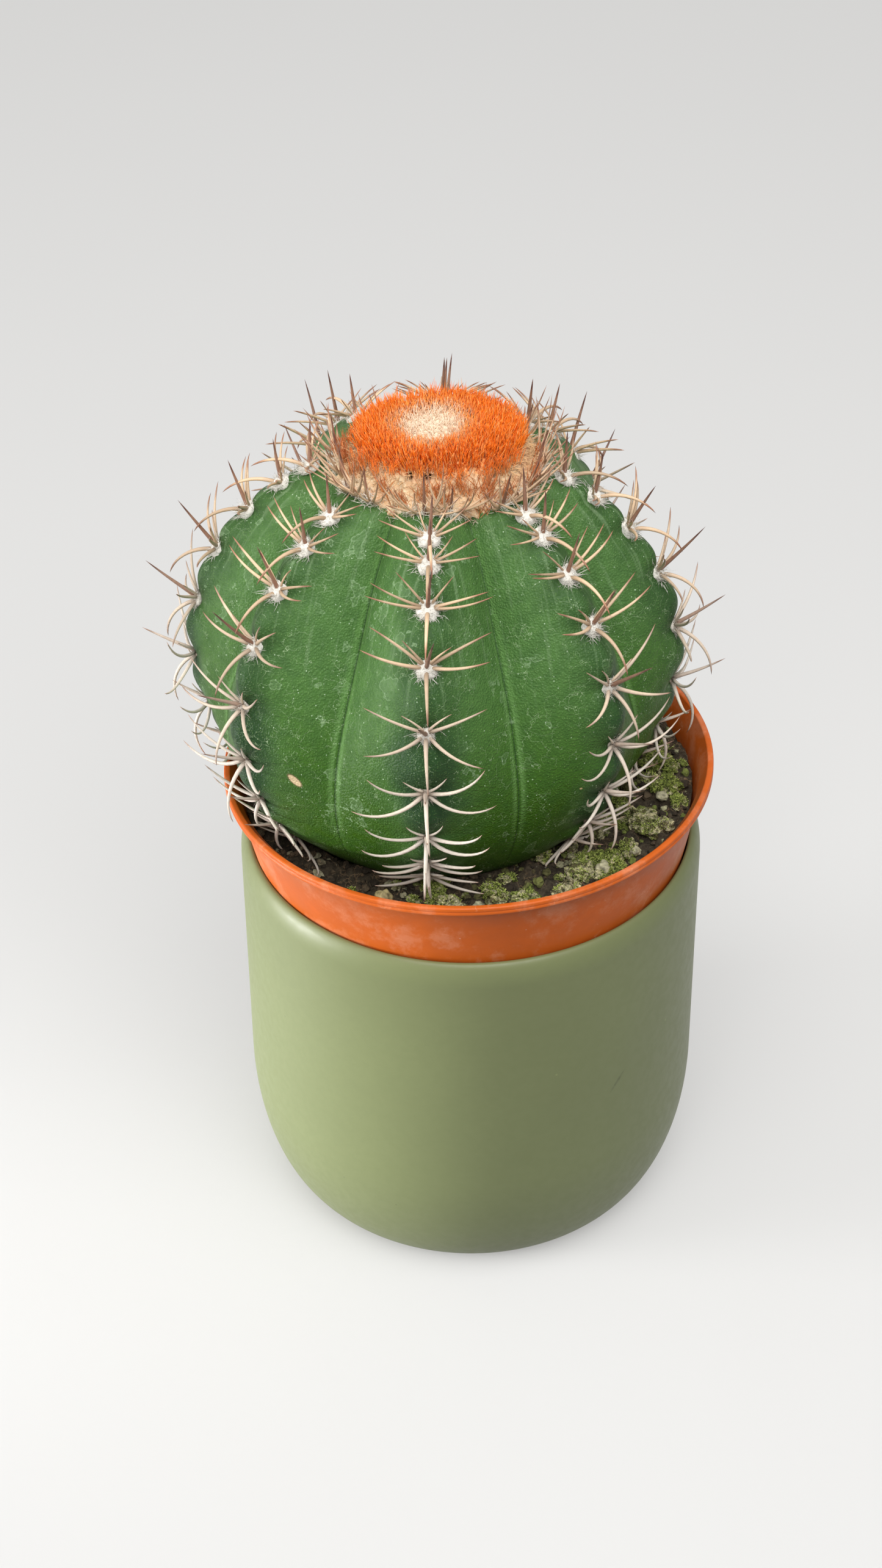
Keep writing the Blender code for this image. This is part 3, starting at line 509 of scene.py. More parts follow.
def arc(centre, radii, start, end, steps):
    """Points (radius, height) along an elliptic arc, in degrees from the outward direction."""
    points = []
    for k in range(steps + 1):
        angle = math.radians(start + (end - start) * k / steps)
        points.append((centre[0] + radii[0] * math.cos(angle), centre[1] + radii[1] * math.sin(angle)))
    return points


def fillet(centre, radius, start, end, steps):
    return arc(centre, (radius, radius), start, end, steps)


def turned(name, outline, steps):
    """A mesh of revolution about Z. Outline ends on the axis, or is closed on itself."""
    bm = bmesh.new()
    verts = [bm.verts.new((radius, 0.0, height)) for radius, height in outline]
    edges = [bm.edges.new(pair) for pair in zip(verts, verts[1:])]
    bmesh.ops.spin(
        bm,
        geom=verts + edges,
        cent=(0.0, 0.0, 0.0),
        axis=(0.0, 0.0, 1.0),
        dvec=(0.0, 0.0, 0.0),
        angle=math.tau,
        steps=steps,
        use_merge=True,
        use_normal_flip=False,
        use_duplicate=False,
    )
    bmesh.ops.remove_doubles(bm, verts=bm.verts, dist=MERGE)
    return mesh_from(bm, name)


def turned_shell(name, rings, columns):
    """A closed shell turned from a line. Returns it with each vertex's ring (0 and rings + 1 are the
    poles) and turn round the axis, so that a piece's own shape can be laid over it."""
    outline = [(0.0, 0.0)] + [(1.0, float(k)) for k in range(1, rings + 1)] + [(0.0, rings + 1.0)]
    mesh = turned(name, outline, columns)
    points = coordinates(mesh)
    ring = np.rint(points[:, 2]).astype(int)
    turn = np.arctan2(points[:, 1], points[:, 0]) % math.tau
    return mesh, ring, turn


def waves(points, pitch, seed, count=9):
    """Smooth random undulation, about -1 to 1, from waves in random directions."""
    rng = np.random.default_rng(seed)
    total = np.zeros(len(points))
    for _ in range(count):
        way = rng.normal(size=3)
        way *= rng.uniform(0.7, 1.4) * math.tau / (pitch * np.linalg.norm(way))
        total += np.sin(points @ way + rng.uniform(0, math.tau))
    return total / math.sqrt(count)


def icosphere(subdivisions):
    bm = bmesh.new()
    bmesh.ops.create_icosphere(bm, subdivisions=subdivisions, radius=1.0)
    return mesh_from(bm, "lump")


def joined(parts, name):
    bm = bmesh.new()
    for part in parts:
        bm.from_mesh(part)
    mesh = bpy.data.meshes.new(name)
    bm.to_mesh(mesh)
    bm.free()
    return mesh


def repeated(template, count, name):
    """Many copies of a mesh in one, made by doubling it, which is quick."""
    block = template
    parts = []
    doubles = []
    while count:
        if count & 1:
            parts.append(block)
        count >>= 1
        if count:
            block = joined((block, block), "block")
            doubles.append(block)
    mesh = joined(parts, name)
    for block in doubles:
        bpy.data.meshes.remove(block)
    return mesh


class Strands:
    """Many tapering curved strands of one build, made into one mesh."""

    def __init__(self, sides, segments):
        bm = bmesh.new()
        bmesh.ops.create_cone(
            bm, cap_ends=True, cap_tris=False, segments=sides, radius1=1.0, radius2=0.0, depth=1.0,
            matrix=Matrix.Translation((0.0, 0.0, 0.5)),
        )
        for k in range(1, segments):
            geometry = bm.verts[:] + bm.edges[:] + bm.faces[:]
            level = (0.0, 0.0, k / segments)
            bmesh.ops.bisect_plane(bm, geom=geometry, plane_co=level, plane_no=(0.0, 0.0, 1.0))
        self.template = mesh_from(bm, "strand")
        points = coordinates(self.template)
        self.ring = np.rint(points[:, 2] * segments).astype(int)
        spread = np.linalg.norm(points[:, :2], axis=1)
        self.round = points[:, :2] / np.maximum(spread, MERGE)[:, None]
        self.round[self.ring == segments] = 0.0
        self.steps = np.linspace(0.0, 1.0, segments + 1)
        self.blocks = []
        self.marks = {"along": [], "tone": []}

    def add(self, path, side, radii, tone, **marks):
        """Path: points at this build's steps; side: a direction across it; radii at those steps."""
        way = np.gradient(path, axis=0)
        way /= np.linalg.norm(way, axis=1)[:, None]
        level = side - way * (way @ side)[:, None]
        level /= np.linalg.norm(level, axis=1)[:, None]
        rise = np.cross(way, level)
        k = self.ring
        offset = level[k] * self.round[:, :1] + rise[k] * self.round[:, 1:]
        self.blocks.append(path[k] + offset * radii[k][:, None])
        self.marks["along"].append(self.steps[k])
        self.marks["tone"].append(np.full(len(k), tone))
        for name, value in marks.items():
            self.marks.setdefault(name, []).append(np.full(len(k), value))

    def mesh(self, name, matrix):
        mesh = repeated(self.template, len(self.blocks), name)
        set_coordinates(mesh, np.concatenate(self.blocks), matrix)
        for label, values in self.marks.items():
            store(mesh, label, np.concatenate(values))
        return mesh


def bend(start, way, sag, length, steps):
    """A curved path: it leaves start along way and turns towards sag."""
    reach = steps[:, None] * length
    return start + way * reach + sag * (steps[:, None] ** 2) * length


def taper(steps, power=0.5):
    """Share of the root's radius: a spine keeps its girth for most of its length."""
    return np.maximum(1.0 - steps, 0.0) ** power


def unit(vector):
    vector = np.asarray(vector, float)
    return vector / np.linalg.norm(vector)


def unit_rows(vectors):
    return vectors / np.maximum(np.linalg.norm(vectors, axis=1), MERGE)[:, None]


def moved(points, matrix):
    return points @ np.array(matrix.to_3x3()).T + np.array(matrix.translation)


# Stem shape


def heading(azimuth):
    """Level direction at an azimuth in degrees; 0 is the front."""
    angle = np.radians(azimuth)
    return np.stack([np.sin(angle), -np.cos(angle), np.zeros_like(angle)], axis=-1)


def crest_radius(height):
    height = np.asarray(height, float)
    reach = np.where(height > STEM_CENTRE, STEM_RISE, STEM_DROP)
    return STEM_RADIUS * np.sqrt(np.maximum(1.0 - ((height - STEM_CENTRE) / reach) ** 2, 0.0))


def groove_share(height):
    return GROOVE_DEPTH / (1.0 + np.exp((GROOVE_MIDDLE - np.asarray(height, float)) / GROOVE_BLEND))


ARC_HEIGHTS = np.linspace(STEM_TOP, STEM_BOTTOM, 600)
ARC_LENGTHS = np.concatenate(
    [[0.0], np.cumsum(np.hypot(np.diff(crest_radius(ARC_HEIGHTS)), np.diff(ARC_HEIGHTS)))]
)


def arc_at(height):
    return np.interp(-np.asarray(height), -ARC_HEIGHTS, ARC_LENGTHS)


def areole_arcs(first):
    """Arc lengths of one rib's areoles, which crowd together towards the crown and the soil."""
    arcs = [first * MM]
    while True:
        spacing = AREOLE_SPACING
        for _ in range(2):
            middle = arcs[-1] + spacing / 2 - AREOLE_WAIST
            spacing = AREOLE_SPACING - AREOLE_CROWDING * middle**2
        following = arcs[-1] + spacing
        if np.interp(following, ARC_LENGTHS, ARC_HEIGHTS) < LOWEST_AREOLE:
            return arcs
        arcs.append(following)


def crowned(arcs):
    """A rib whose top areole stands clear of the cap has one more, half under the cap's edge."""
    return [arcs[0] - TOP_SPACING, *arcs] if arcs[0] > TOP_SPACING else arcs


RIB_ARCS = [crowned(areole_arcs(first)) for first in FIRST_AREOLES]


def chin(rib, height):
    """How far a crest swells at a height: nothing at an areole, most half way to the next."""
    arcs = np.array(RIB_ARCS[rib])
    here = arc_at(height)
    k = np.clip(np.searchsorted(arcs, here) - 1, 0, len(arcs) - 2)
    share = np.clip((here - arcs[k]) / (arcs[k + 1] - arcs[k]), 0.0, 1.0)
    room = np.clip((arcs[k + 1] - arcs[k]) / (13 * MM), 0.0, 1.0)
    return np.sin(math.pi * share) ** 1.3 * room


def stem_columns(turn):
    """Azimuth, rib at each side, and how far from crest (0) to groove (1), for turns round the stem.
    Columns stand closer together along crests and grooves."""
    ribs = len(RIB_AZIMUTHS)
    along = turn / math.tau * ribs
    rib = np.floor(along).astype(int) % ribs
    share = along - np.floor(along)
    share = share - 0.6 * np.sin(4 * math.pi * share) / (4 * math.pi)
    starts = np.array(RIB_AZIMUTHS)
    spans = (np.roll(starts, -1) - starts) % 360.0
    azimuth = starts[rib] + spans[rib] * share
    from_crest = 1.0 - np.abs(2.0 * share - 1.0)
    nearest = np.where(share < 0.5, rib, (rib + 1) % ribs)
    return azimuth, nearest, from_crest, np.radians(spans[rib]) / 2


def stem_radius(nearest, from_crest, half_span, height, chin_height):
    """Distance of the skin from the stem's axis."""
    plain = crest_radius(height)
    share = groove_share(height)
    across = from_crest * half_span * plain
    swelling = np.zeros_like(plain)
    for rib in range(len(RIB_AZIMUTHS)):
        mine = nearest == rib
        swelling[mine] = chin(rib, height[mine])
    swelling *= chin_height * np.exp(-((across / CHIN_REACH) ** 2))
    swelling *= np.clip((height + 12 * MM) / (14 * MM), 0.0, 1.0)
    to_groove = (1.0 - from_crest) * half_span * plain
    crease = CREASE_DEPTH * np.exp(-((to_groove / CREASE_WIDTH) ** 2)) * share / GROOVE_DEPTH
    return plain * (1.0 - share * from_crest**FLANK_POWER) + swelling - crease


class Areole:
    """A spine cushion's place, with its own axes: side, up (towards the crown) and out."""

    def __init__(self, azimuth, arc_length):
        self.height = float(np.interp(arc_length, ARC_LENGTHS, ARC_HEIGHTS))
        step = 0.5 * MM
        rise = float(crest_radius(self.height + step) - crest_radius(self.height - step))
        outward = heading(azimuth)
        self.up = unit(outward * rise + np.array([0.0, 0.0, 2 * step]))
        self.side = heading(azimuth + 90.0)
        self.out = np.cross(self.side, self.up)
        if self.out @ outward < 0:
            self.out = -self.out
        self.base = outward * float(crest_radius(self.height)) + np.array([0.0, 0.0, self.height])
        self.age = min(1.0, max(0.0, (YOUNG_ABOVE - self.height) / AGEING_REACH))

    def direction(self, bearing, lift, mirror=1.0):
        across, off = math.radians(bearing), math.radians(lift)
        flat = self.side * (mirror * math.cos(across)) + self.up * math.sin(across)
        return flat * math.cos(off) + self.out * math.sin(off)


def all_areoles():
    for rib, azimuth in enumerate(RIB_AZIMUTHS):
        yield rib, [Areole(azimuth, arc_length) for arc_length in RIB_ARCS[rib]]


# Soil shape


def nursery_radius(height, inset=0.0):
    return NURSERY_RADIUS - inset + NURSERY_TAPER * height


def soil_height(x, y):
    lumps = np.sin(x / (6.1 * MM) + 0.7) * np.sin(y / (5.3 * MM)) + 0.6 * np.sin((x - y) / (3.4 * MM))
    slope = SOIL_RISE_RIGHT * np.maximum(0.0, x) / NURSERY_RADIUS
    return SOIL_LEVEL + slope + SOIL_LUMP * lumps


def soil_relief(x, y):
    """The soil's own height with its clods and crumbs."""
    flat = np.stack([x, y, np.zeros_like(x)], axis=-1)
    clods = waves(flat, 7.5 * MM, 3) * 0.7 * MM
    crumbs = np.abs(waves(flat, 2.8 * MM, 4)) * 0.6 * MM + waves(flat, 1.4 * MM, 5) * 0.22 * MM
    return soil_height(x, y) + clods + crumbs - 0.4 * MM


def soil_ring(turn):
    """For turns round the plant's axis: the soil's inner edge beside the stem and outer edge at the wall,
    in the nursery pot's frame."""
    azimuth, nearest, from_crest, half_span = stem_columns(turn)
    height = np.full(len(turn), SOIL_LEVEL)
    radius = stem_radius(nearest, from_crest, half_span, height, 0.0) + 0.5 * MM
    way = heading(azimuth)
    inner = moved(way * radius[:, None] + np.array([0.0, 0.0, SOIL_LEVEL]), PLANT_TO_NURSERY)
    edge = nursery_radius(SOIL_LEVEL, NURSERY_WALL + 0.3 * MM)
    along = np.sum(inner[:, :2] * way[:, :2], axis=1)
    reach = -along + np.sqrt(along**2 - np.sum(inner[:, :2] ** 2, axis=1) + edge**2)
    outer = inner + way * reach[:, None]
    return inner, outer


# Stage


FLOOR_REACH = 8.0
LAMP_TARGET = (0.0, 0.0, 0.11)
CAMERA_LENS = 70.07
CAMERA_ELEVATION = 37.85
CAMERA_ROLL = -0.97
CAMERA_DISTANCE = 0.7488  # from the middle of the nursery pot's rim
CAMERA_SHIFT = (-0.006805, -0.006901)  # to the right and upwards


class AddStage(bpy.types.Operator):
    """Adds the plain floor, the soft lamps, the sky and the camera"""

    bl_idname = "cactus.add_stage"
    bl_label = "Stage, Lamps and Camera"

    def execute(self, context):
        settings = context.scene.cactus_stage
        self.add_floor(settings)
        self.add_lamp("key_lamp", (-1.15, -0.28, 0.42), LAMP_TARGET, 0.5, 180.0, settings.key_power)
        self.add_lamp("top_lamp", (0.08, -0.58, 1.22), LAMP_TARGET, 1.0, 180.0, settings.top_power)
        pot_side = (-0.04, -0.03, 0.025)
        self.add_lamp("low_lamp", (-0.42, -0.08, 0.03), pot_side, 0.12, 50.0, settings.low_power)
        self.set_sky(context.scene, settings)
        self.add_camera(context.scene)
        context.scene.view_settings.view_transform = "Standard"
        return {"FINISHED"}

    def add_floor(self, settings):
        """The floor shows its own pale colour, and lights the object with a quieter one."""
        bm = bmesh.new()
        bmesh.ops.create_grid(bm, x_segments=8, y_segments=8, size=FLOOR_REACH)
        mesh = mesh_from(bm, "floor")
        look = Finish("floor_paint", Roughness=0.85)
        painted = look.blend(look.mottle(3.0), rgba(settings.floor_colour, 0.985), settings.floor_colour)
        rays = look.add("ShaderNodeLightPath").outputs
        seen = look.calc("MAXIMUM", rays["Is Camera Ray"], rays["Is Transmission Ray"])
        seen = look.calc("MAXIMUM", seen, rays["Is Glossy Ray"])
        look.base = look.blend(seen, settings.floor_bounce, painted)
        look.shader.inputs["Emission Color"].default_value = rgba(settings.pale_colour)
        look.tree.links.new(seen, look.shader.inputs["Emission Strength"])
        mesh.materials.append(look.finished())
        floor = bpy.data.objects.new("floor", mesh)
        bpy.context.scene.collection.objects.link(floor)

    def add_lamp(self, name, location, target, size, spread, power):
        lamp = bpy.data.lights.new(name, "AREA")
        lamp.shape = "SQUARE"
        lamp.size = size
        lamp.spread = math.radians(spread)
        lamp.energy = power
        obj = bpy.data.objects.new(name, lamp)
        obj.location = location
        aim = Vector(target) - Vector(location)
        obj.rotation_euler = aim.to_track_quat("-Z", "Y").to_euler()
        bpy.context.scene.collection.objects.link(obj)

    def set_sky(self, scene, settings):
        world = bpy.data.worlds.new("soft_sky")
        world.use_nodes = True
        look = Nodes(world.node_tree)
        background = look.tree.nodes["Background"].inputs
        background["Color"].default_value = (1.0, 1.0, 1.0, 1.0)
        seen = look.add("ShaderNodeLightPath").outputs["Is Camera Ray"]
        brighter = settings.backdrop_strength - settings.sky_strength
        strength = look.plus(settings.sky_strength, look.times(seen, brighter))
        look.tree.links.new(strength, background["Strength"])
        scene.world = world

    def add_camera(self, scene):
        elevation = math.radians(CAMERA_ELEVATION)
        roll = math.radians(CAMERA_ROLL)
        back = Vector((0.0, -math.cos(elevation), math.sin(elevation)))
        up = Vector((0.0, math.sin(elevation), math.cos(elevation)))
        right = Vector((1.0, 0.0, 0.0))
        location = Vector((0.0, 0.0, RIM_HEIGHT)) + back * CAMERA_DISTANCE
        location += right * CAMERA_SHIFT[0] + up * CAMERA_SHIFT[1]
        across = right * math.cos(roll) + up * math.sin(roll)
        upward = up * math.cos(roll) - right * math.sin(roll)
        camera = bpy.data.cameras.new("camera")
        camera.lens = CAMERA_LENS
        camera.sensor_width = 36.0
        camera.clip_start = 0.01
        camera.clip_end = 20.0
        obj = bpy.data.objects.new("camera", camera)
        turn = Matrix((across, upward, back)).transposed().to_4x4()
        obj.matrix_world = Matrix.Translation(location) @ turn
        scene.collection.objects.link(obj)
        scene.camera = obj


# Pots


SCUFF = ((0.0355, -0.0450, 0.0595), (0.0, -0.85, 0.66))  # place on the glaze, and turn


class AddCachepot(bpy.types.Operator):
    """Adds the glazed cachepot with its rounded foot and rolled mouth"""

    bl_idname = "cactus.add_cachepot"
    bl_label = "Cachepot"

    def execute(self, context):
        inner_radius = CACHEPOT_RADIUS - CACHEPOT_WALL
        foot = CACHEPOT_RADIUS - CACHEPOT_BASE_RADIUS
        line_inner, line_outer, line_depth = FOOT_LINE
        edge = 0.6 * MM
        lip = MOUTH_RADIUS + edge
        outline = [(0.0, 0.0), (line_inner * 0.6, 0.0)]
        outline += fillet((line_inner, line_depth), line_depth, -90, 0, 3)
        outline += fillet((line_outer + line_depth, line_depth), line_depth, 180, 270, 3)
        outline += arc((CACHEPOT_BASE_RADIUS, CACHEPOT_FOOT_RISE), (foot, CACHEPOT_FOOT_RISE), -90, 0, 26)
        shoulder = CACHEPOT_RADIUS - lip
        outline += arc((lip, CACHEPOT_HEIGHT - MOUTH_ROLL), (shoulder, MOUTH_ROLL), 0, 90, 20)
        outline += fillet((lip, CACHEPOT_HEIGHT - edge), edge, 90, 180, 8)[1:]
        outline.append((MOUTH_RADIUS, CACHEPOT_HEIGHT - 2 * MOUTH_ROLL))
        outline.append((inner_radius, CACHEPOT_HEIGHT - 4 * MOUTH_ROLL))
        hollow = inner_radius - CACHEPOT_BASE_RADIUS + CACHEPOT_WALL
        radii = (hollow, CACHEPOT_FOOT_RISE - CACHEPOT_FLOOR)
        outline += arc((inner_radius - hollow, CACHEPOT_FOOT_RISE), radii, 0, -90, 12)
        outline.append((0.0, CACHEPOT_FLOOR))
        mesh = self.seated(turned("sage_cachepot", outline, POT_COLUMNS))
        mat = self.glaze(context.scene.cactus_cachepot)
        finish_piece("sage_cachepot", mesh, mat, "cachepot_glaze", ["cachepot"], 40.0)
        return {"FINISHED"}

    def seated(self, mesh):
        """Moves the mouth with the leaning nursery pot, which it holds all round."""
        points = coordinates(mesh)
        middle = NURSERY_FRAME @ Vector((0.0, 0.0, CACHEPOT_HEIGHT - RIM_HEIGHT))
        share = np.clip((points[:, 2] - CACHEPOT_HEIGHT + 2 * MOUTH_ROLL) / MOUTH_ROLL, 0.0, 1.0)
        points[:, 0] += share * middle.x
        points[:, 1] += share * middle.y
        set_coordinates(mesh, points)
        return mesh

    def glaze(self, settings):
        """Satin glaze: faint clouding, pin specks, one dark scuff and a slight orange-peel relief."""
        look = Finish(
            "satin_sage_glaze", Roughness=settings.glaze_roughness, Specular_IOR_Level=0.4, Coat_Weight=0.1,
            Coat_Roughness=0.36,
        )
        colour = settings.glaze_colour
        clouds = look.mottle(26.0)
        fine = look.mottle(420.0)
        look.base = look.blend(clouds, rgba(colour, 0.965), rgba(colour, 1.03))
        look.over(fine, rgba(colour, 0.93), 0.35)
        dark = look.specks(150.0, 0.045, 0.16)
        look.over(dark, rgba(colour, 0.42), 0.5)
        pale = look.specks(105.0, 0.05, 0.2)
        look.over(pale, rgba(colour, 1.7), 0.45)
        scuff = look.spot(*SCUFF, (0.0046, 0.006, 0.0007), 0.9)
        broken = look.times(look.noise(look.where, 900.0), 0.9)
        look.over(look.times(scuff, broken), rgba(colour, 0.3))
        rough = look.plus(settings.glaze_roughness - 0.03, look.times(fine, 0.07))
        peel = look.grain(520.0)
        soft = look.noise(look.where, 60.0)
        relief = look.bump(look.plus(look.times(soft, 6.0), peel), 0.00002, 0.3)
        return look.finished(rough, relief)


class AddNurseryPot(bpy.types.Operator):
    """Adds the thin orange nursery pot with its rolled lip and drain holes"""

    bl_idname = "cactus.add_nursery_pot"
    bl_label = "Nursery Pot"

    def execute(self, context):
        bottom = -NURSERY_HEIGHT
        floor = bottom + NURSERY_FLOOR_RISE
        ceiling = floor + NURSERY_FLOOR
        toe = 1 * MM
        bead = 0.5 * MM
        groove = 0.3 * MM
        walls = 14
        middle = -NURSERY_LIP / 2
        beside_drains = (DRAIN_RING - 2 * DRAIN_RADIUS, DRAIN_RING + 2 * DRAIN_RADIUS)
        outline = [(radius, floor) for radius in (0.0, *beside_drains)]
        outline.append((nursery_radius(floor, 2.5 * NURSERY_WALL), floor))
        outline.append((nursery_radius(bottom, 2.0 * NURSERY_WALL), bottom))
        outline += fillet((nursery_radius(bottom) - toe, bottom + toe), toe, -90, 0, 4)
        for k in range(1, walls):
            height = bottom + toe - (NURSERY_LIP + 0.6 * MM + bottom + toe) * k / walls
            outline.append((nursery_radius(height), height))
        outline.append((nursery_radius(-NURSERY_LIP), -NURSERY_LIP - groove))
        outline.append((nursery_radius(-NURSERY_LIP) + groove, -NURSERY_LIP))
        outline += fillet((NURSERY_RIM_RADIUS - groove, -NURSERY_LIP + groove), groove, -90, 0, 4)
        outline.append((NURSERY_RIM_RADIUS, middle - groove))
        outline.append((NURSERY_RIM_RADIUS - 0.7 * groove, middle))
        outline.append((NURSERY_RIM_RADIUS, middle + 0.5 * groove))
        outline += fillet((NURSERY_RIM_RADIUS - bead, -bead), bead, 0, 90, 6)
        inner_rim = NURSERY_RIM_RADIUS - NURSERY_LIP_WIDTH
        outline += fillet((inner_rim + bead, -bead), bead, 90, 180, 4)
        for k in range(1, walls):
            height = -NURSERY_LIP + (ceiling + NURSERY_LIP) * (k - 1) / walls
            outline.append((nursery_radius(height, NURSERY_WALL), height))
        outline.append((nursery_radius(ceiling, NURSERY_WALL), ceiling))
        outline.append((0.0, ceiling))
        mesh = self.drained(turned("orange_nursery_pot", outline, POT_COLUMNS), (floor + ceiling) / 2)
        mesh.transform(NURSERY_FRAME)
        mat = self.plastic(context.scene.cactus_nursery_pot)
        finish_piece("orange_nursery_pot", mesh, mat, "nursery_plastic", ["nursery_pot"], 50.0)
        return {"FINISHED"}

    def drained(self, mesh, height):
        """The pot's mesh with its drain holes cut."""
        bm = bmesh.new()
        for k in range(DRAINS):
            angle = math.tau * (k + 0.5) / DRAINS
            spot = Vector((DRAIN_RING * math.cos(angle), DRAIN_RING * math.sin(angle), height))
            bmesh.ops.create_cone(
                bm, cap_ends=True, segments=24, radius1=DRAIN_RADIUS, radius2=DRAIN_RADIUS,
                depth=3 * NURSERY_FLOOR, matrix=Matrix.Translation(spot),
            )
        scene = bpy.context.scene
        cutter = bpy.data.objects.new("drain_cutter", mesh_from(bm, "drain_cutter"))
        pot = bpy.data.objects.new("pot_blank", mesh)
        scene.collection.objects.link(cutter)
        scene.collection.objects.link(pot)
        cut = pot.modifiers.new("drain_holes", "BOOLEAN")
        cut.operation = "DIFFERENCE"
        cut.solver = "EXACT"
        cut.object = cutter
        graph = bpy.context.evaluated_depsgraph_get()
        result = bpy.data.meshes.new_from_object(pot.evaluated_get(graph), depsgraph=graph)
        bpy.data.objects.remove(pot)
        bpy.data.objects.remove(cutter)
        return result

    def plastic(self, settings):
        """Moulded plastic: cloudy colour, fine scratches, a pale bloom and specks of dust."""
        look = Finish("orange_moulded_plastic", Roughness=0.42, Specular_IOR_Level=0.2)
        colour = settings.plastic_colour
        clouds = look.mottle(55.0)
        fine = look.mottle(380.0)
        look.base = look.blend(clouds, rgba(colour, 0.92), rgba(colour, 1.06))
        look.over(fine, rgba(colour, 0.88), 0.4)
        scratches = look.scratches(130.0, 0.02, 0.35)
        look.over(scratches, (0.75, 0.36, 0.2), 0.35)
        bloom = look.step(look.noise(look.where, 75.0, 6.0, 0.72), 0.47, 0.66)
        look.over(bloom, (0.76, 0.36, 0.22), 0.3)
        dust = look.specks(330.0, 0.1, 0.12)
        look.over(dust, (0.7, 0.5, 0.38), 0.4)
        rough = look.plus(0.38, look.times(clouds, 0.1))
        grain = look.grain(900.0)
        return look.finished(rough, look.bump(grain, 0.00002, 0.5))


# Soil and what lies on it


CUSHION_SIZES = (3.9, 4.1, 4.1, 3.4)  # radii in mm of the clods that stand for the CAD's own clumps
MOSS_PLACES = 460  # places tried for the other clods
STEM_FOOT_RADIUS = 41.0 * MM


